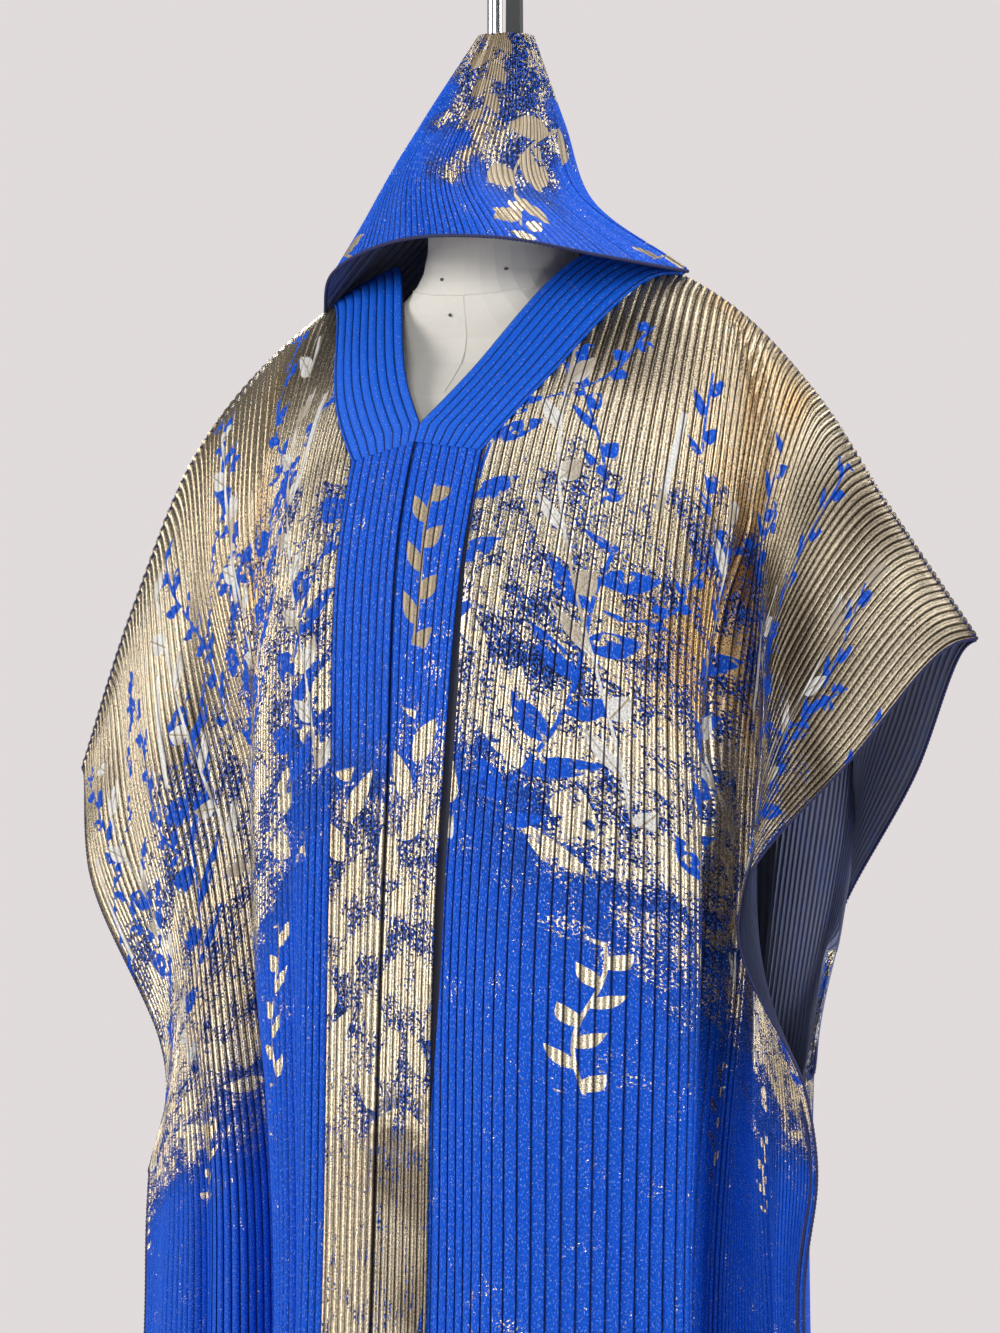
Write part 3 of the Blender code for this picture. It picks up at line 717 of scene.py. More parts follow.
def new_group(name, inputs, outputs):
    """A shader node group with (name, kind, default) inputs and (name, kind) outputs."""
    tree = bpy.data.node_groups.new(name, "ShaderNodeTree")
    for label, kind, default in inputs:
        socket = tree.interface.new_socket(name=label, in_out="INPUT",
                                           socket_type="NodeSocket" + kind)
        if default is not None:
            socket.default_value = default
    for label, kind in outputs:
        tree.interface.new_socket(name=label, in_out="OUTPUT", socket_type="NodeSocket" + kind)
    graph = Graph(tree)
    given = graph.outputs(graph.node("NodeGroupInput"))
    return tree, graph, given, graph.node("NodeGroupOutput").inputs


def make_rib_group():
    """Painted shade as dark lines in the creases between ribs, and the fine raised weave."""
    tree, g, given, made = new_group(
        "rib_weave",
        (("Vector", "Vector", None), ("Pitch", "Float", 0.0068)),
        (("Crease Shade", "Float"), ("Height", "Float"), ("Thread", "Float")))
    across, along = g.split(given["Vector"])
    share = g.math("FRACT", across / given["Pitch"])
    from_crease = abs(share - 0.5)
    wander = g.noise(given["Vector"], 90.0)
    edge = 0.3 + wander * 0.1
    g.put(made["Crease Shade"], g.step(from_crease, edge, 0.495))
    twill = g.math("SINE", along * 6200.0 + across * 2600.0)
    grain = g.noise(given["Vector"], 1500.0, 1.0)
    g.put(made["Thread"], g.noise(g.scale(given["Vector"], 1150.0, 520.0), 1.0, 1.0))
    g.put(made["Height"], twill * 0.5 + grain)
    return tree


def make_sprig_group():
    """Sprigs in columns: a waving stem with leaves by turns on either side."""
    tree, g, given, made = new_group(
        "leaf_sprig",
        (("Vector", "Vector", None), ("Spacing", "Float", 0.13), ("Shift", "Float", 0.0),
         ("Start", "Float", 0.1), ("End", "Float", 0.4), ("Lean", "Float", 0.0),
         ("Wave", "Float", 0.006), ("Wave Length", "Float", 0.2), ("Stem", "Float", 0.0012),
         ("Leaf Step", "Float", 0.05), ("Leaf Length", "Float", 0.03),
         ("Leaf Width", "Float", 0.01), ("Leaf Angle", "Float", 0.7), ("Spread", "Float", 0.03)),
        (("Leaf", "Float"), ("Stem", "Float"), ("Vein", "Float")))
    across, along = g.split(given["Vector"])
    slanted = across + (given["Shift"] + along * given["Lean"])
    column = slanted / given["Spacing"]
    number = g.math("FLOOR", column)
    chance = g.node("ShaderNodeTexWhiteNoise", noise_dimensions="1D")
    g.put(chance.inputs["W"], number)
    luck = g.read(chance, "Value")
    local = (column - number - 0.5) * given["Spacing"]
    phase = along / given["Wave Length"] * math.tau + luck * math.tau
    local = local - given["Wave"] * g.math("SINE", phase)
    shift = (luck - 0.5) * given["Spread"]
    moved = along - shift
    inside = (g.step(moved, given["Start"], given["Start"] + 0.002)
              * (1.0 - g.step(moved, given["End"], given["End"] + 0.002)))
    width = abs(local)
    stem = 1.0 - g.step(width, given["Stem"], given["Stem"] + 0.0004)
    cosine = g.math("COSINE", given["Leaf Angle"])
    sine = g.math("SINE", given["Leaf Angle"])
    half = given["Leaf Length"] * 0.5
    leaves = []
    veins = []
    for side, offset in ((1.0, 0.0), (-1.0, 0.5)):
        turn = along / given["Leaf Step"] + (offset + luck * 0.7)
        dy = (g.math("FRACT", turn) - 0.85) * given["Leaf Step"]
        dx = local * side
        reach = dx * sine - dy * cosine - half
        aside = dx * cosine + dy * sine
        share = reach / half
        share = g.larger(g.smaller(share, 1.0), -1.0)
        bow = 1.0 - share * share
        bow = bow * (1.0 - share * 0.35)
        edge = bow * (given["Leaf Width"] * 0.5) - abs(aside)
        one = g.step(edge, 0.0, 0.0005)
        on_vein = one * (1.0 - g.step(abs(aside), 0.0002, 0.0007))
        leaves.append(one)
        veins.append(on_vein)
    g.put(made["Leaf"], g.larger(*leaves) * inside)
    g.put(made["Stem"], stem * inside)
    g.put(made["Vein"], g.larger(*veins) * inside)
    return tree


def make_speckle_group():
    """Broken metallic flecks, denser in patches."""
    tree, g, given, made = new_group(
        "speckle",
        (("Vector", "Vector", None), ("Amount", "Float", 0.5)),
        (("Fleck", "Float"),))
    flat = given["Vector"]
    fine = g.noise(g.scale(flat, 520.0, 400.0), 1.0, 2.0, 0.65)
    patches = g.noise(g.scale(flat, 64.0, 52.0), 1.0, 1.5, 0.6)
    bands = g.noise(g.scale(flat, 15.0, 20.0), 1.0, 1.0)
    total = fine + (patches - 0.5) * 0.50 + (bands - 0.5) * 0.40
    level = 0.80 - given["Amount"] * 0.55
    g.put(made["Fleck"], g.step(total, level, level + 0.03))
    return tree


def make_yarn_group(colours):
    """Champagne yarn with warmer and greyer stretches, as much of each as asked for."""
    tree, g, given, made = new_group(
        "metallic_yarn",
        (("Vector", "Vector", None), ("Orange", "Float", 0.25), ("Taupe", "Float", 0.35)),
        (("Color", "Color"),))
    flat = given["Vector"]
    warm = g.step(g.noise(g.scale(flat, 9.0, 6.0), 1.0, 2.0), 0.46, 0.66)
    grey = g.step(g.noise(g.scale(flat, 6.0, 9.0), 1.0, 1.0), 0.42, 0.66)
    gold = g.mix((0.25 + warm * 0.60) * given["Orange"], colours.gold, colours.orange_gold)
    g.put(made["Color"], g.mix((0.45 + grey * 0.55) * given["Taupe"], gold, colours.taupe))
    return tree


def make_ground_group(colours):
    """Blue broken by painted shade among the flecks, and a few painted highlights as pale glints."""
    tree, g, given, made = new_group(
        "blue_ground",
        (("Vector", "Vector", None), ("Flecked", "Float", 0.5)),
        (("Color", "Color"),))
    flat = given["Vector"]
    # painted shade between the flecks
    painted_gap_shade = g.step(g.noise(g.scale(flat, 640.0, 430.0), 1.0, 2.0, 0.6), 0.40, 0.48)
    ground = g.mix(painted_gap_shade * given["Flecked"] * 0.95, colours.blue, FLECK_GAP_SHADE)
    # painted highlight: pale glints of satin sheen
    painted_glints = g.step(g.noise(g.scale(flat, 1100.0, 420.0), 1.0, 1.0), 0.60, 0.72)
    g.put(made["Color"], g.mix(painted_glints * 0.50, ground, GLINT_HIGHLIGHT))
    return tree


def make_ragged_group():
    """Distance down from the shoulder, made uneven for the edges of the print's zones."""
    tree, g, given, made = new_group(
        "ragged_drop", (("Vector", "Vector", None),), (("Drop", "Float"),))
    flat = given["Vector"]
    broad = (g.noise(flat, 9.0, 2.0) - 0.5) * 0.13
    ragged = (g.noise(flat, 38.0, 3.0, 0.6) - 0.5) * 0.11
    crumbs = (g.noise(flat, 260.0, 2.0, 0.6) - 0.5) * 0.07
    g.put(made["Drop"], g.split(flat)[1] + (broad + (ragged + crumbs)))
    return tree


PRINT_INPUTS = (("Vector", "Vector", None),)
PRINT_OUTPUTS = (("Color", "Color"), ("Metal", "Float"))
SPRIG_SHAPE = ("Spacing", "Shift", "Start", "End", "Lean", "Wave", "Wave Length", "Stem",
               "Leaf Step", "Leaf Length", "Leaf Width", "Leaf Angle", "Spread")
PANEL_SPRIGS = {
    #          space  shift  start  end    lean   wave   length stem    step   leaf   wide    angle spread
    "leaves": (0.105, 0.035, 0.190, 0.410, 0.30, 0.010, 0.27, 0.0010, 0.050, 0.040, 0.0160, 0.85, 0.10),
    "spray": (0.088, 0.052, 0.055, 0.230, -0.26, 0.008, 0.16, 0.0009, 0.030, 0.019, 0.0085, 0.75, 0.07),
    "vine": (0.190, 0.060, 0.090, 0.260, 0.95, 0.010, 0.11, 0.0009, 0.024, 0.011, 0.0085, 1.25, 0.05),
    "silver": (0.116, 0.098, 0.100, 0.460, -0.20, 0.006, 0.34, 0.0008, 0.074, 0.028, 0.0115, 0.62, 0.12),
    "blade": (0.139, 0.020, 0.150, 0.225, 0.10, 0.000, 0.30, 0.0022, 0.120, 0.030, 0.0110, 0.40, 0.10),
    "gilt": (0.082, 0.017, 0.220, 0.500, -0.42, 0.006, 0.22, 0.0006, 0.066, 0.044, 0.0200, 0.62, 0.10),
    "hanging": (0.137, 0.030, 0.545, 0.670, 0.05, 0.005, 0.13, 0.0008, 0.034, 0.022, 0.0100, 0.65, 0.09),
}
PLACKET_GILT = (0.050, 0.012, 0.420, 1.300, 0.10, 0.004, 0.21, 0.0006, 0.055, 0.038, 0.0170, 0.55, 0.08)
LONE_SHAPE = ("Wave", "Wave Length", "Stem", "Leaf Step", "Leaf Length", "Leaf Width", "Leaf Angle")
PLACKET_SPRIG = (0.024, 0.232, -0.05, 0.118, 0.0022, 0.14, 0.0010, 0.036, 0.0250, 0.0120, 0.60)
HOOD_SPRIGS = (
    # x      y     turn  run    wave    length stem   step   leaf    wide    angle
    (-0.015, 0.100, 3.05, 0.080, 0.0020, 0.16, 0.0009, 0.027, 0.0220, 0.0110, 0.70),
    (0.036, 0.130, 2.30, 0.022, 0.0010, 0.16, 0.0009, 0.024, 0.0260, 0.0120, 0.70),
    (-0.004, 0.212, 2.72, 0.150, 0.0060, 0.16, 0.0009, 0.056, 0.0400, 0.0200, 0.70),
    (0.120, 0.205, 2.50, 0.130, 0.0050, 0.16, 0.0009, 0.040, 0.0300, 0.0140, 0.70),
    (0.172, 0.010, 4.20, 0.110, 0.0050, 0.16, 0.0009, 0.040, 0.0300, 0.0140, 0.70),
    (-0.168, 0.020, 2.30, 0.110, 0.0050, 0.16, 0.0009, 0.040, 0.0300, 0.0140, 0.70),
    (-0.130, 0.195, 3.60, 0.120, 0.0050, 0.16, 0.0009, 0.040, 0.0300, 0.0140, 0.70),
)
HOOD_RIM_LEAF = (0.004, 0.176, 0.0, 0.055, 0.0, 0.20, 0.0008, 0.030, 0.0260, 0.0140, 0.95)


def sprig_columns(g, groups, flat, shape):
    """Sprigs in columns over the cloth, shaped by one row in the order of SPRIG_SHAPE."""
    return g.use(groups["leaf_sprig"], {"Vector": flat, **dict(zip(SPRIG_SHAPE, shape))})


def lone_sprig(g, groups, flat, row):
    """One sprig: its root's place, its turn, its length, then the rest as in LONE_SHAPE."""
    x, y, turn, run = row[:4]
    root = (x, y, 0.0)
    turned = g.fill("ShaderNodeVectorRotate", {"Vector": flat, "Center": root, "Angle": turn},
                    "Vector", rotation_type="Z_AXIS")
    return g.use(groups["leaf_sprig"],
                 {"Vector": g.vector("SUBTRACT", turned, root), "Spacing": 1.0, "Shift": 0.5,
                  "Start": 0.0, "End": run, "Lean": 0.0, "Spread": 0.0,
                  **dict(zip(LONE_SHAPE, row[4:]))})


def make_panel_print(groups, colours):
    """The panels' design by flat place: gold yoke, speckled middle, plain blue skirt."""
    tree, g, given, made = new_group("panel_print", PRINT_INPUTS, PRINT_OUTPUTS)
    flat = given["Vector"]
    reach = abs(g.split(flat)[0])
    here = g.use(groups["ragged_drop"], {"Vector": flat})["Drop"]
    beside_neck = 1.0 - g.step(reach, 0.05, 0.17)
    yoke_end = 0.175 + beside_neck * 0.025
    yoke = 1.0 - g.step(here, yoke_end, yoke_end + 0.012)
    low = 0.40 + g.smaller(reach * 0.9, 0.19)
    fade = g.step(here, low - 0.14, low + 0.05)
    amount = 0.02 + (1.0 - fade) * 0.60
    fleck = g.use(groups["speckle"], {"Vector": flat, "Amount": amount})["Fleck"]
    sprigs = {name: sprig_columns(g, groups, flat, shape) for name, shape in PANEL_SPRIGS.items()}

    worn = g.step(g.noise(flat, 120.0, 2.0), 0.34, 0.44)
    blue = worn * g.larger(*(sprigs[name][part] for name in ("leaves", "spray", "vine")
                             for part in ("Leaf", "Stem")))
    pale = g.larger(sprigs["silver"]["Leaf"], sprigs["silver"]["Stem"], sprigs["blade"]["Stem"])
    drops = g.larger(sprigs["hanging"]["Leaf"], sprigs["hanging"]["Stem"])
    metal = g.larger(yoke, fleck, sprigs["gilt"]["Leaf"] * worn) * (1.0 - blue)
    metal = g.larger(metal, drops)

    by_fold = g.step(reach, 0.13, 0.20) * (1.0 - g.step(reach, 0.27, 0.34))
    by_fold = by_fold * (1.0 - g.step(here, 0.26, 0.36))
    greyed = (1.0 - g.step(here, 0.14, 0.30)) * (1.0 - by_fold * 0.8)
    gold = g.use(groups["metallic_yarn"], {"Vector": flat, "Orange": 0.12 + by_fold * 0.88,
                                           "Taupe": 0.10 + greyed * 0.90})["Color"]
    flecked = g.math("SUBTRACT", 1.0 - fade, blue * 0.85, clamp=True)
    ground = g.use(groups["blue_ground"], {"Vector": flat, "Flecked": flecked})["Color"]
    dulled = g.step(g.noise(flat, 17.0, 1.0), 0.48, 0.60) * 0.75
    leaf = g.mix(g.larger(sprigs["silver"]["Vein"], dulled), colours.silver, colours.sprig)
    g.put(made["Color"], g.mix(pale, g.mix(metal, ground, gold), leaf))
    g.put(made["Metal"], g.math("ADD", metal * (1.0 - pale), pale * 0.30, clamp=True))
    return tree


def make_band_print(groups, colours):
    """The plackets: plain at the top, a sprig on the left one, gold speckle lower down."""
    tree, g, given, made = new_group("band_print", PRINT_INPUTS, PRINT_OUTPUTS)
    flat = given["Vector"]
    here = g.use(groups["ragged_drop"], {"Vector": flat})["Drop"]
    left = g.step(g.split(flat)[0], -0.020, 0.012)
    start = g.blend(left, 0.44, 0.34)
    amount = g.step(here, start - 0.06, start + 0.14) * 0.60
    fleck = g.use(groups["speckle"], {"Vector": flat, "Amount": amount})["Fleck"]
    sprig = lone_sprig(g, groups, flat, PLACKET_SPRIG)
    drawn = g.larger(sprig["Leaf"], sprig["Stem"])
    gilt = sprig_columns(g, groups, flat, PLACKET_GILT)["Leaf"]
    striped = g.step(here, 0.66, 0.74)
    stripes = striped * g.step(g.noise(g.scale(flat, 300.0, 26.0), 1.0, 1.0), 0.40, 0.48)
    metal = g.larger(g.larger(fleck, stripes, gilt) * (1.0 - drawn), drawn * 0.5)
    greyed = striped * g.blend(left, 0.35, 1.0)
    yarn = g.use(groups["metallic_yarn"], {"Vector": flat, "Orange": 0.20,
                                           "Taupe": 0.15 + greyed})["Color"]
    ground = g.use(groups["blue_ground"], {"Vector": flat,
                                           "Flecked": g.step(here, 0.36, 0.50)})["Color"]
    gold = g.mix(drawn, yarn, colours.sprig)
    g.put(made["Color"], g.mix(g.larger(metal, drawn), ground, gold))
    g.put(made["Metal"], metal)
    return tree


def make_hood_print(groups, colours):
    """The hood, laid out flat from its peak: taupe sprigs on blue, with speckle to one side."""
    tree, g, given, made = new_group("hood_print", PRINT_INPUTS, PRINT_OUTPUTS)
    flat = given["Vector"]
    across, along = g.split(flat)
    ragged = (g.noise(flat, 30.0, 2.0) - 0.5) * 0.10
    aside = g.step(abs(across - 0.012) + ragged, 0.030, 0.075)
    amount = (1.0 - aside) * (1.0 - g.step(along + ragged, 0.12, 0.19))
    fleck = g.use(groups["speckle"], {"Vector": flat, "Amount": amount * 0.56})["Fleck"]
    sprigs = [lone_sprig(g, groups, flat, row) for row in HOOD_SPRIGS]
    drawn = g.larger(*(g.larger(sprig["Leaf"], sprig["Stem"]) for sprig in sprigs))
    rim_leaf = lone_sprig(g, groups, flat, HOOD_RIM_LEAF)["Leaf"]
    metal = g.larger(fleck * (1.0 - drawn), drawn * 0.5, rim_leaf)
    yarn = g.use(groups["metallic_yarn"], {"Vector": flat})["Color"]
    ground = g.use(groups["blue_ground"], {"Vector": flat, "Flecked": amount})["Color"]
    gold = g.mix(drawn * 0.8, yarn, colours.sprig)
    g.put(made["Color"], g.mix(g.larger(metal, drawn), ground, gold))
    g.put(made["Metal"], metal)
    return tree


class Finish(Graph):
    """A new material with its shader."""

    def __init__(self, name):
        self.material = bpy.data.materials.new(name)
        self.material.use_nodes = True
        super().__init__(self.material.node_tree)
        self.shader = self.tree.nodes["Principled BSDF"]

    def set(self, **values):
        """Fills the shader's sockets, by name with _ for spaces."""
        for name, value in values.items():
            self.put(self.shader.inputs[name.replace("_", " ")], value)

    def bump(self, height, strength, distance):
        self.set(Normal=self.fill("ShaderNodeBump", {"Strength": strength, "Distance": distance,
                                                     "Height": height}, "Normal"))

    def flat_map(self, name="cut"):
        return self.read(self.node("ShaderNodeUVMap", uv_map=name), "UV")

    def place(self):
        return self.read(self.node("ShaderNodeTexCoord"), "Object")

    def noise_3d(self, scale, detail=2.0, roughness=0.5):
        return self.noise(self.place(), scale, detail, roughness, "3D")


def make_jacquard(name, groups, colours, pitch, print_name, map_name="cut"):
    """Ribbed cloth with the print: matt blue ground and metallic yarn."""
    g = Finish(name)
    flat = g.flat_map()
    design = g.use(groups[print_name], {"Vector": g.flat_map(map_name)})
    ribs = g.use(groups["rib_weave"], {"Vector": flat, "Pitch": pitch})
    metal = design["Metal"]
    uneven = ribs["Thread"] - 0.5
    grainy = g.blend(g.step(g.split(flat)[1], 0.10, 0.24), 0.55, 1.20)
    lit = g.fill("ShaderNodeMix", {"Factor": 1.0, 6: design["Color"], 7: 1.0 + uneven * grainy},
                 2, data_type="RGBA", blend_type="MULTIPLY")
    # Painted shade for the creases between ribs: deep blue on the ground, near black on the metallic yarn
    dark = g.mix(metal, colours.crease_shade_blue, GOLD_CREASE_SHADE)
    g.set(Base_Color=g.mix(ribs["Crease Shade"] * 0.94, lit, dark),
          Metallic=metal * (0.95 - ribs["Crease Shade"] * 0.6),
          Roughness=g.blend(metal, 0.46, 0.24) + uneven * 0.22,
          Specular_IOR_Level=0.16)
    g.bump(ribs["Height"], 0.35, WEAVE_HEIGHT)
    return g.material


def make_wrong_side(name, groups, colours, pitch):
    """The inner face: dusty blue, with the design showing through faintly."""
    g = Finish(name)
    flat = g.flat_map()
    metal = g.use(groups["panel_print"], {"Vector": flat})["Metal"]
    ribs = g.use(groups["rib_weave"], {"Vector": flat, "Pitch": pitch})
    faint = g.mix(metal * 0.35, colours.wrong_side, (0.22, 0.21, 0.22))
    # painted shade darkens the creases between ribs
    g.set(Base_Color=g.mix(ribs["Crease Shade"] * 0.7, faint, (0.010, 0.014, 0.050)),
          Roughness=g.blend(ribs["Thread"], 0.45, 0.65),
          Metallic=metal * 0.3)
    g.bump(ribs["Height"], 0.3, 0.0003)
    return g.material


def make_band(name, groups, colours, pitch):
    """Ribbed plain blue of the neckbands."""
    g = Finish(name)
    flat = g.flat_map()
    ribs = g.use(groups["rib_weave"], {"Vector": flat, "Pitch": pitch})
    lit = g.mix(ribs["Thread"], colours.blue, (0.004, 0.15, 0.86))
    # painted highlight: pale glints of sheen on the blue satin
    painted_sparkle = g.step(g.noise(g.scale(flat, 900.0, 500.0), 1.0, 1.0), 0.70, 0.76)
    lit = g.mix(painted_sparkle * 0.5, lit, (0.45, 0.55, 0.9))
    # painted shade in the creases between ribs
    g.set(Base_Color=g.mix(ribs["Crease Shade"] * 0.90, lit, colours.crease_shade_blue),
          Roughness=g.blend(ribs["Thread"], 0.36, 0.56),
          Specular_IOR_Level=0.25)
    g.bump(ribs["Height"], 0.35, WEAVE_HEIGHT)
    return g.material


def make_canvas(name, looks):
    """Plain weave canvas of the form."""
    g = Finish(name)
    slubs = g.noise_3d(240.0, 3.0, 0.6)
    shade = g.mix(slubs * 0.5, looks.canvas, (0.78, 0.75, 0.68))
    g.set(Base_Color=g.mix(g.noise_3d(14.0) * 0.25, shade, (0.82, 0.79, 0.73)),
          Roughness=g.blend(slubs, 0.78, 0.92))
    g.bump(g.noise_3d(1100.0, 1.0), 0.25, 0.0004)
    return g.material


def make_metal(name, tint, metallic, low, high, grain):
    """Steel finishes: brushed along Z, with small changes of gloss."""
    g = Finish(name)
    streaks = g.scale(g.place(), grain, grain, grain * 0.08)
    marks = g.noise(streaks, 1.0, 2.0, dimensions="3D")
    darker = tuple(channel * 0.75 for channel in tint)
    g.set(Base_Color=g.mix(marks, darker, tint), Metallic=metallic,
          Roughness=g.blend(marks, low, high))
    return g.material


def make_thread(name, tint):
    """Twisted stitching thread."""
    g = Finish(name)
    fibre = g.noise_3d(2500.0, 1.0)
    lighter = tuple(min(1.0, channel * 2.6 + 0.004) for channel in tint)
    g.set(Base_Color=g.mix(fibre, tint, lighter), Roughness=g.blend(fibre, 0.5, 0.8))
    return g.material


MATERIALS = {}


def material(name):
    """The named material, made with all the others on first use."""
    if not MATERIALS:
        scene = bpy.context.scene
        colours = scene.robe_colours
        looks = scene.form_looks
        ribs = scene.robe_cloth.rib_pitch
        band_ribs = scene.robe_cloth.band_rib_pitch
        groups = {"rib_weave": make_rib_group(), "leaf_sprig": make_sprig_group(),
                  "speckle": make_speckle_group(), "metallic_yarn": make_yarn_group(colours),
                  "blue_ground": make_ground_group(colours), "ragged_drop": make_ragged_group()}
        groups["panel_print"] = make_panel_print(groups, colours)
        groups["band_print"] = make_band_print(groups, colours)
        groups["hood_print"] = make_hood_print(groups, colours)
        MATERIALS.update({
            "panel": make_jacquard("panel_jacquard", groups, colours, ribs, "panel_print"),
            "hood": make_jacquard("hood_jacquard", groups, colours, ribs, "hood_print",
                                  "unrolled"),
            "placket": make_jacquard("placket_jacquard", groups, colours, band_ribs,
                                     "band_print"),
            "band": make_band("band_satin", groups, colours, band_ribs),
            "wrong": make_wrong_side("wrong_side", groups, colours, ribs),
            "canvas": make_canvas("form_canvas", looks),
            "steel": make_metal("stand_steel", tuple(looks.steel), 0.6, 0.32, 0.46, 60.0),
            "chrome": make_metal("rod_chrome", (0.82, 0.83, 0.84), 1.0, 0.06, 0.16, 90.0),
            "bar": make_metal("bar_paint", (0.045, 0.046, 0.050), 0.5, 0.35, 0.55, 140.0),
            "thread": make_thread("overlock_thread", tuple(colours.thread)),
            # painted shade: the near-black sheet seen through the slit
            "tape": make_thread("slit_tape", (0.004, 0.005, 0.016)),
        })
    return MATERIALS[name]


# ---- operators ------------------------------------------------------------------------------

def slit_taper(drop):
    """Share of the slit's width that is open: narrow at the mitre and at the foot."""
    return smooth((0.0, MITRE_DROP, 0.26, 0.33, 0.60, SLIT_DROP, HEM_DROP),
                  (0.1, 0.1, 0.3, 1.0, 1.0, 0.1, 0.1), drop)


def build_panel(scene, name, start_reach, start_drop):
    """One ribbed panel with its cut map."""
    cloth = scene.robe_cloth
    panel = PANELS[name]
    reach, drop, heights = panel_grid(panel, cloth, start_reach, start_drop)
    if name == "front_left":
        reach[:, 0] = PLACKET_HALF + SEAM_GAP + SLIT_WIDTH * slit_taper(drop[:, 0])
    outer, inner = ribbed_points(panel, reach, drop, heights, cloth.rib_depth, cloth.thickness)
    shift = BACK_PRINT_SHIFT if name.startswith("back") else 0.0
    cut = np.stack([(reach + shift) * panel.side, drop], axis=-1)
    piece = add_piece("cloth_" + name, sheet_mesh(name, outer, inner, cut), "ribbed_jacquard",
                      "panel", "wrong")
    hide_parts(name)
    return piece


class ROBE_OT_front_panels(bpy.types.Operator):
    """Builds the two ribbed front panels with their sleeve halves"""
    bl_idname = "robe.front_panels"
    bl_label = "Front panels"
    bl_options = {"REGISTER", "UNDO"}

    def execute(self, context):
        slit = SEAM_GAP + SLIT_WIDTH
        for name, start in (("front_left", PLACKET_HALF + slit), ("front_right", PLACKET_HALF)):
            piece = build_panel(context.scene, name, start, front_start)
        return {"FINISHED"}


class ROBE_OT_back_panels(bpy.types.Operator):
    """Builds the two halves of the ribbed back, which meet on the centre line"""
    bl_idname = "robe.back_panels"
    bl_label = "Back panels"
    bl_options = {"REGISTER", "UNDO"}

    def execute(self, context):
        for name in ("back_left", "back_right"):
            piece = build_panel(context.scene, name, SEAM_GAP / 2, back_neckline)
        return {"FINISHED"}


class ROBE_OT_neckbands(bpy.types.Operator):
    """Builds the two neckbands with ribs along their length"""
    bl_idname = "robe.neckbands"
    bl_label = "Neckbands"
    bl_options = {"REGISTER", "UNDO"}

    def execute(self, context):
        cloth = context.scene.robe_cloth
        columns, heights = rib_columns(0.0, NECKBAND_WIDTH, cloth.band_rib_pitch)
        across, drop = np.meshgrid(columns, np.linspace(0.0, MITRE_DROP, 46))
        inner = band_inner(drop)
        reach = inner + (band_outer(drop) - inner) * (across / NECKBAND_WIDTH)
        rib = np.broadcast_to(heights, drop.shape)
        cut = np.stack([across, drop * NECKBAND_SLANT], axis=-1)
        for side in ("left", "right"):
            skins = ribbed_points(PANELS["front_" + side], reach, drop, rib,
                                  cloth.band_rib_depth, BAND_THICKNESS, creased=False)
            mesh = sheet_mesh("neckband_" + side, *skins, cut)
            piece = add_piece("band_neck_" + side, mesh, "band_satin", "band", "wrong")
            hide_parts("neckband_" + side)
        return {"FINISHED"}


class ROBE_OT_plackets(bpy.types.Operator):
    """Builds the two placket bands"""
    bl_idname = "robe.plackets"
    bl_label = "Plackets"
    bl_options = {"REGISTER", "UNDO"}

    def execute(self, context):
        cloth = context.scene.robe_cloth
        columns, heights = rib_columns(SEAM_GAP / 2, PLACKET_HALF, cloth.band_rib_pitch)
        drops = np.concatenate([np.arange(MITRE_DROP + SEAM_GAP, 0.6, 0.012),
                                np.arange(0.6, HEM_DROP, 0.03), [HEM_DROP]])
        reach, drop = np.meshgrid(columns, drops)
        rib = np.broadcast_to(heights, drop.shape)
        by_centre = np.exp(-(reach / 0.010) ** 2)
        # The left band dips at the centre line and the right one rises over it.
        for side, dip in (("left", 0.0014), ("right", -0.0010)):
            panel = PANELS["front_" + side]
            skins = ribbed_points(panel, reach, drop, rib, cloth.band_rib_depth, BAND_THICKNESS,
                                  behind=by_centre * dip, creased=False)
            cut = np.stack([reach * panel.side, drop], axis=-1)
            mesh = sheet_mesh("placket_" + side, *skins, cut)
            piece = add_piece("band_placket_" + side, mesh, "band_satin", "placket", "wrong")
            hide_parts("placket_" + side)
        return {"FINISHED"}


class ROBE_OT_slit_shade_sheet(bpy.types.Operator):
    """Lays a near-black sheet behind the slit: painted shade for the inside of the opening"""
    bl_idname = "robe.slit_tape"
    bl_label = "Slit shade sheet"
    bl_options = {"REGISTER", "UNDO"}

    def execute(self, context):
        middle = PLACKET_HALF + SLIT_WIDTH / 2
        columns = np.linspace(middle - SLIT_BACKING_HALF, middle + SLIT_BACKING_HALF, 9)
        reach, drop = np.meshgrid(columns, np.linspace(MITRE_DROP, SLIT_DROP, 60))
        skins = ribbed_points(PANELS["front_left"], reach, drop, np.ones_like(reach), 0.0, 0.0010,
                              behind=SLIT_FACE_DEPTH, creased=False)
        mesh = sheet_mesh("slit_tape", *skins, np.stack([reach, drop], axis=-1))
        # the sheet's near-black finish is painted shade
        piece = add_piece("tape_slit", mesh, "slit_backing", "tape", "tape")
        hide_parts("slit_backing")
        return {"FINISHED"}


def hood_edge(angles):
    """The hood's lower edge: the back neckline behind, and the free rim in front."""
    edge = np.empty((len(angles), 3))
    rim = np.array(HOOD_RIM)
    behind = angles <= 180.0
    for index in np.flatnonzero(behind):
        reach = NECK_HALF * math.cos(math.radians(angles[index]))
        panel = PANELS["back_left" if reach >= 0 else "back_right"]
        place = np.array([abs(reach)])
        edge[index] = panel.at(place, back_neckline(place))[0]
        edge[index, 2] += HOOD_LIFT
    edge[~behind] = smooth(rim[:, 0], rim[:, 1:], angles[~behind])
    return edge


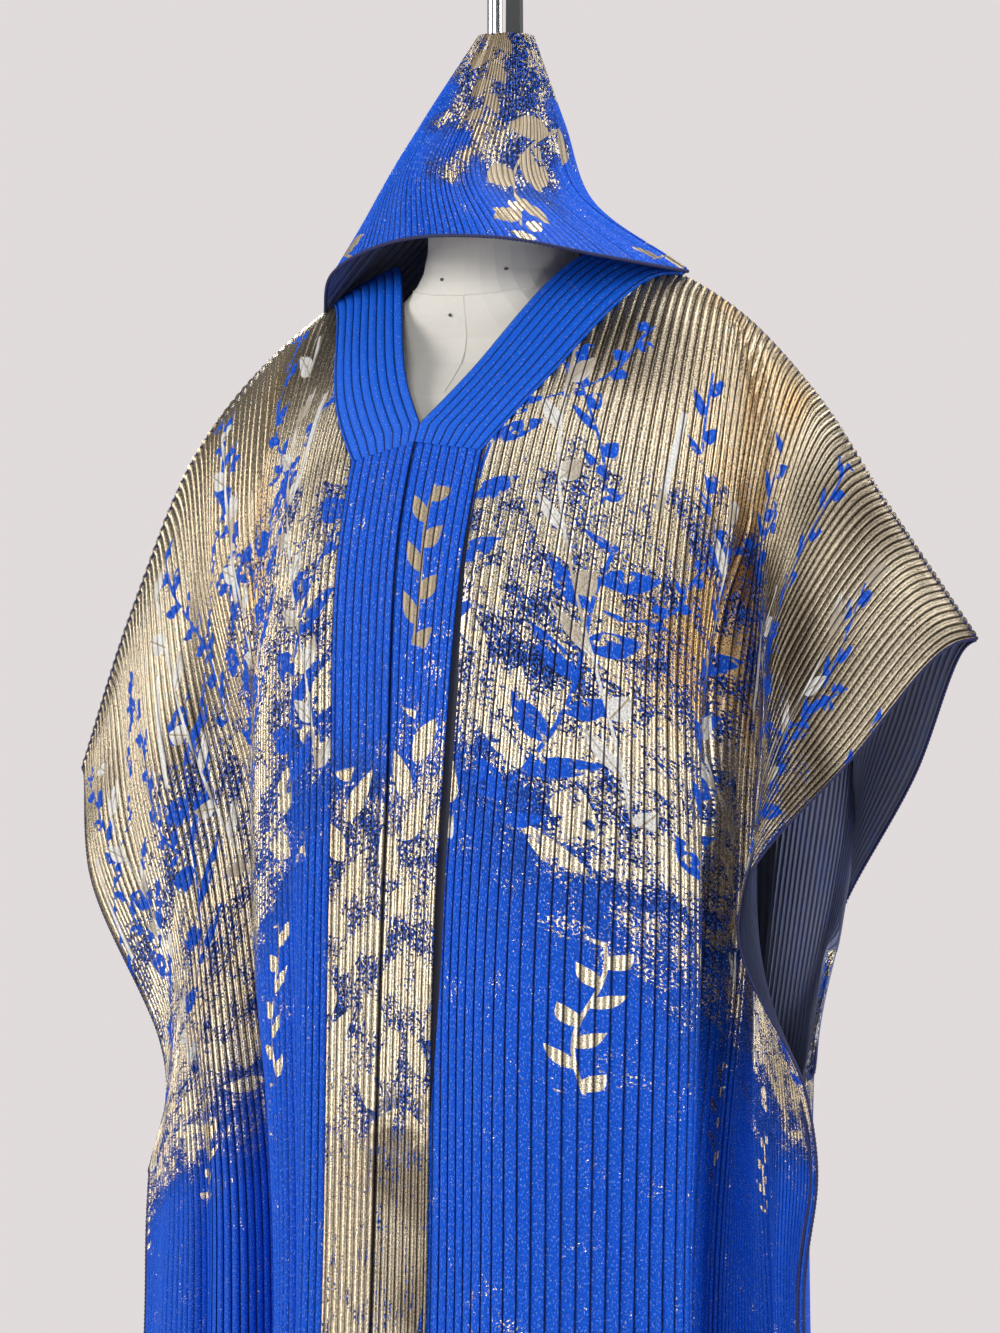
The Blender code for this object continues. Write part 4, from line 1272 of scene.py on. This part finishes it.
def hood_grid(angles, down):
    """The hood's surface as a tent, by direction and share of the way down from the peak."""
    edge = hood_edge(angles)
    peak = np.array(HOOD_PEAK)
    sections = np.array(HOOD_SECTIONS)
    turn = np.radians(angles)
    rings = []
    for share, to_left, to_right, to_front, to_back in sections:
        ring = np.empty((len(angles), 3))
        ring[:, 0] = peak[0] + np.where(np.cos(turn) >= 0, to_left, to_right) * np.cos(turn)
        ring[:, 1] = peak[1] + np.where(np.sin(turn) >= 0, to_back, to_front) * np.sin(turn)
        ring[:, 2] = peak[2] + (edge[:, 2] - peak[2]) * share
        rings.append(ring)
    rings.append(edge)
    return smooth(np.append(sections[:, 0], 1.0), np.array(rings), down)


def unrolled_hood(points, angles):
    """Flat places of the hood opened out from its peak, measured down the slant."""
    steps = np.linalg.norm(np.diff(points, axis=0, prepend=points[:1]), axis=2)
    slant = np.cumsum(steps, axis=0) + HOOD_HOLE
    facing = np.radians((angles - HOOD_FACING + 180.0) % 360.0 - 180.0) * HOOD_UNROLL
    return np.stack([slant * np.sin(facing), slant * np.cos(facing)], axis=-1)


class ROBE_OT_hood(bpy.types.Operator):
    """Builds the ribbed hood, which hangs from the rod as a tent"""
    bl_idname = "robe.hood"
    bl_label = "Hood"
    bl_options = {"REGISTER", "UNDO"}

    def execute(self, context):
        cloth = context.scene.robe_cloth
        angles = np.arange(HOOD_COLUMNS) * 360.0 / HOOD_COLUMNS
        down = np.linspace(0.0, 1.0, HOOD_ROWS)
        points = hood_grid(angles, down)
        across = np.roll(points, -1, axis=1) - np.roll(points, 1, axis=1)
        normals = np.cross(np.gradient(points, axis=0), across)
        normals /= np.linalg.norm(normals, axis=2, keepdims=True)
        step = np.linalg.norm(np.diff(points[-1], axis=0, append=points[-1, :1]), axis=1)
        rim_around, drop = np.meshgrid(np.cumsum(step) - step, down)
        share = np.modf(rim_around / cloth.rib_pitch)[0]
        sink = np.abs(share * 2.0 - 1.0) ** 3 * cloth.rib_depth * 0.9
        outer = points - normals * sink[..., None]
        inner = outer - normals * cloth.thickness
        cut = np.stack([rim_around, drop * HOOD_SLANT], axis=-1)
        mesh = sheet_mesh("hood", outer, inner, cut, wrapped=True)
        add_map(mesh, "unrolled", unrolled_hood(points, angles))
        piece = add_piece("cloth_hood", mesh, "ribbed_jacquard", "hood", "wrong")
        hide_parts("hood")
        return {"FINISHED"}


def edge_run(panel, reach, drop, cloth):
    """Points along a panel's edge, at the middle of its thickness."""
    reach, drop = np.broadcast_arrays(reach, drop)
    line = panel.at(reach, drop)
    normals = panel.normals(reach, drop)
    rise = (crease_height(panel.name, reach, drop) - CREASE_ROOM
            - cloth.rib_depth * (1.0 - EDGE_RIB_HEIGHT))
    return line + normals * (rise - cloth.thickness / 2)[..., None]


class ROBE_OT_stitching(bpy.types.Operator):
    """Sews the dark overlocked edges of cuffs, sides, hem, hood and shoulders"""
    bl_idname = "robe.stitching"
    bl_label = "Stitched edges"
    bl_options = {"REGISTER", "UNDO"}

    def execute(self, context):
        scene = context.scene
        cloth = scene.robe_cloth
        cuff = np.linspace(STITCH_START, CUFF_DROP, 130)
        side = np.linspace(CUFF_DROP, HEM_DROP, 160)
        hem = np.linspace(STITCH_START, HALF_CUT, 200)
        shoulder = np.linspace(NECK_HALF + STITCH_START, HALF_CUT, 110)
        for name, panel in PANELS.items():
            edges = [edge_run(panel, HALF_CUT, cuff, cloth),
                     edge_run(panel, HALF_CUT, side, cloth),
                     edge_run(panel, hem, HEM_DROP, cloth)]
            if name.startswith("front"):
                edges.append(edge_run(panel, shoulder, SHOULDER_STITCH_DROP, cloth))
            mesh = rope_mesh("stitch_" + name, edges, EDGE_STITCH_RADIUS, cloth.stitch_pitch)
            add_piece("stitch_" + name, mesh, "ribbed_jacquard", "thread")
        rim = hood_edge(np.linspace(180.0, 360.0, 360))
        rim[:, 2] -= HOOD_STITCH_SINK
        mesh = rope_mesh("stitch_hood", [rim], HOOD_STITCH_RADIUS, cloth.stitch_pitch)
        add_piece("stitch_hood", mesh, "ribbed_jacquard", "thread")
        return {"FINISHED"}


class ROBE_OT_form(bpy.types.Operator):
    """Gives the dress form its canvas and the stand its metal finishes"""
    bl_idname = "robe.form"
    bl_label = "Form and stand"
    bl_options = {"REGISTER", "UNDO"}

    def execute(self, context):
        finishes = {"form_torso": "canvas", "form_neck_cap": "steel", "form_rod": "chrome",
                    "form_bar": "bar", "stand_column": "chrome", "stand_base": "steel"}
        for node, finish in finishes.items():
            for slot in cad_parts[node].material_slots:
                slot.material = material(finish)
        return {"FINISHED"}


class ROBE_OT_form_seams(bpy.types.Operator):
    """Raises the form's neck seam, its two centre seams and its marking pins"""
    bl_idname = "robe.form_seams"
    bl_label = "Form seams"
    bl_options = {"REGISTER", "UNDO"}

    def execute(self, context):
        scene = context.scene
        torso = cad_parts["form_torso"]
        into = torso.matrix_world.inverted()

        def on_form(start, towards):
            hit, point, _, _ = torso.ray_cast(into @ Vector(start),
                                              into.to_3x3() @ Vector(towards))
            if not hit:
                raise RuntimeError("a form seam runs off the form")
            return torso.matrix_world @ point

        ring = []
        for turn in np.linspace(0.0, math.tau, 121):
            height = NECK_SEAM_HEIGHT + NECK_SEAM_TILT * math.sin(turn)
            out = Vector((math.cos(turn), math.sin(turn), 0.0))
            ring.append(on_form(out + Vector((0, 0, height)), -out))
        centre_front = [on_form((0.0, -1.0, z), (0, 1, 0))
                        for z in np.linspace(FRONT_SEAM_TOP, CENTRE_SEAM_FOOT, 60)]
        centre_back = [on_form((0.0, 1.0, z), (0, -1, 0))
                       for z in np.linspace(BACK_SEAM_TOP, CENTRE_SEAM_FOOT, 60)]
        mesh = rope_mesh("form_seams", [ring, centre_front, centre_back],
                         scene.form_looks.seam_width / 2, 0.0025, sides=5)
        add_piece("form_seams", mesh, "form_canvas", "canvas")
        pins = []
        for x, z in PIN_PLACES:
            head = on_form((x, -1.0, z), (0, 1, 0))
            pins.append([head + Vector((0, 0.0015, 0)), head - Vector((0, 0.0012, 0))])
        mesh = rope_mesh("form_pins", pins, PIN_RADIUS, 0.004)
        add_piece("form_pins", mesh, "stand_steel", "steel")
        return {"FINISHED"}


class ROBE_OT_studio(bpy.types.Operator):
    """Sets the pale floor, the soft lights and the camera"""
    bl_idname = "robe.studio"
    bl_label = "Studio"
    bl_options = {"REGISTER", "UNDO"}

    def execute(self, context):
        scene = context.scene
        self.floor(scene)
        self.backdrop(scene)
        self.lights(scene)
        self.camera(scene)
        return {"FINISHED"}

    def floor(self, scene):
        turn = np.linspace(0.0, math.tau, 97)[:-1]
        rim = [(FLOOR_RADIUS * math.cos(a), FLOOR_RADIUS * math.sin(a), 0.0) for a in turn]
        mesh = bpy.data.meshes.new("studio_floor")
        mesh.from_pydata(rim, [], [tuple(range(len(rim)))])
        g = Finish("studio_floor")
        # The floor looks as pale far out as it does under the lights.
        seen = g.read(g.node("ShaderNodeLightPath"), "Is Camera Ray")
        g.set(Base_Color=g.mix(g.noise_3d(3.0), (0.80, 0.78, 0.78), (0.84, 0.82, 0.82)),
              Roughness=0.9, Emission_Color=(0.80, 0.76, 0.76), Emission_Strength=seen * 0.50)
        mesh.materials.append(g.material)
        floor = bpy.data.objects.new("studio_floor", mesh)
        floor.location.z = -0.0005
        scene.collection.objects.link(floor)

    def backdrop(self, scene):
        world = bpy.data.worlds.new("studio_world")
        world.use_nodes = True
        scene.world = world
        g = Graph(world.node_tree)
        seen = g.read(g.node("ShaderNodeLightPath"), "Is Camera Ray")
        back = world.node_tree.nodes["Background"]
        g.put(back.inputs["Color"], g.mix(seen, (0.80, 0.84, 0.92), (0.96, 0.905, 0.905)))
        g.put(back.inputs["Strength"], g.blend(seen, 0.16, 0.78))
        scene.view_settings.view_transform = "Standard"

    def lights(self, scene):
        # name, place, aim, size across and up, watts, colour
        table = (
            ("key", (-2.4, -2.0, 2.1), (0, 0, 1.0), (0.9, 2.2), 60.0, (1.0, 0.98, 0.95)),
            ("front", (1.0, -3.4, 2.6), (0, 0, 1.2), (1.4, 1.2), 41.0, (1.0, 0.99, 0.97)),
            ("side", (2.8, -0.7, 1.9), (0, 0, 1.1), (0.7, 2.2), 36.0, (0.97, 0.98, 1.0)),
            ("top", (0.2, 0.2, 3.4), (0, 0, 1.3), (1.6, 1.2), 26.0, (1.0, 1.0, 1.0)),
            ("back_left", (-1.8, 2.2, 1.9), (0, 0, 1.1), (0.6, 2.0), 30.0, (1.0, 0.98, 0.95)),
            ("back_right", (1.9, 2.1, 2.0), (0, 0, 1.1), (0.6, 2.0), 30.0, (0.98, 0.99, 1.0)),
        )
        for name, place, aim, size, power, tint in table:
            data = bpy.data.lights.new("light_" + name, "AREA")
            data.shape = "RECTANGLE"
            data.size, data.size_y = size
            data.energy = power
            data.color = tint
            lamp = bpy.data.objects.new("light_" + name, data)
            lamp.location = place
            aim_at = Vector(aim) - Vector(place)
            lamp.rotation_euler = aim_at.to_track_quat("-Z", "Y").to_euler()
            scene.collection.objects.link(lamp)

    def camera(self, scene):
        studio = scene.studio
        back = Vector((math.sin(studio.turn), -math.cos(studio.turn), 0.0))
        right = Vector((math.cos(studio.turn), math.sin(studio.turn), 0.0))
        aim = Vector((0.0, 0.0, studio.height)) - right * studio.aim_offset
        data = bpy.data.cameras.new("camera")
        data.sensor_width = 36.0
        data.lens = 36.0 * studio.distance / studio.view_height
        data.dof.use_dof = False
        camera = bpy.data.objects.new("camera", data)
        camera.location = aim + back * studio.distance
        camera.rotation_euler = (-back).to_track_quat("-Z", "Y").to_euler()
        scene.collection.objects.link(camera)
        scene.camera = camera


class ROBE_PT_sidebar(bpy.types.Panel):
    """Lists the steps that build the robe"""
    bl_label = "Boubou robe"
    bl_space_type = "VIEW_3D"
    bl_region_type = "UI"
    bl_category = "Robe"

    def draw(self, context):
        for group in ("robe_cloth", "robe_colours", "form_looks", "studio"):
            settings = getattr(context.scene, group)
            box = self.layout.box()
            for name in settings.__annotations__:
                box.prop(settings, name)
        for step in STEPS:
            self.layout.operator(step.bl_idname)


SETTINGS = (("robe_cloth", RobeCloth), ("robe_colours", RobeColours),
            ("form_looks", FormLooks), ("studio", StudioSettings))
STEPS = (ROBE_OT_front_panels, ROBE_OT_back_panels, ROBE_OT_neckbands, ROBE_OT_plackets,
         ROBE_OT_slit_shade_sheet, ROBE_OT_hood, ROBE_OT_stitching, ROBE_OT_form,
         ROBE_OT_form_seams, ROBE_OT_studio)


def register():
    for name, settings in SETTINGS:
        bpy.utils.register_class(settings)
        setattr(bpy.types.Scene, name, bpy.props.PointerProperty(type=settings))
    for step in STEPS:
        bpy.utils.register_class(step)
    bpy.utils.register_class(ROBE_PT_sidebar)


def unregister():
    bpy.utils.unregister_class(ROBE_PT_sidebar)
    for step in reversed(STEPS):
        bpy.utils.unregister_class(step)
    for name, settings in reversed(SETTINGS):
        delattr(bpy.types.Scene, name)
        bpy.utils.unregister_class(settings)


def main():
    register()
    for step in STEPS:
        group, name = step.bl_idname.split(".")
        getattr(getattr(bpy.ops, group), name)()


if __name__ == "__main__":
    main()
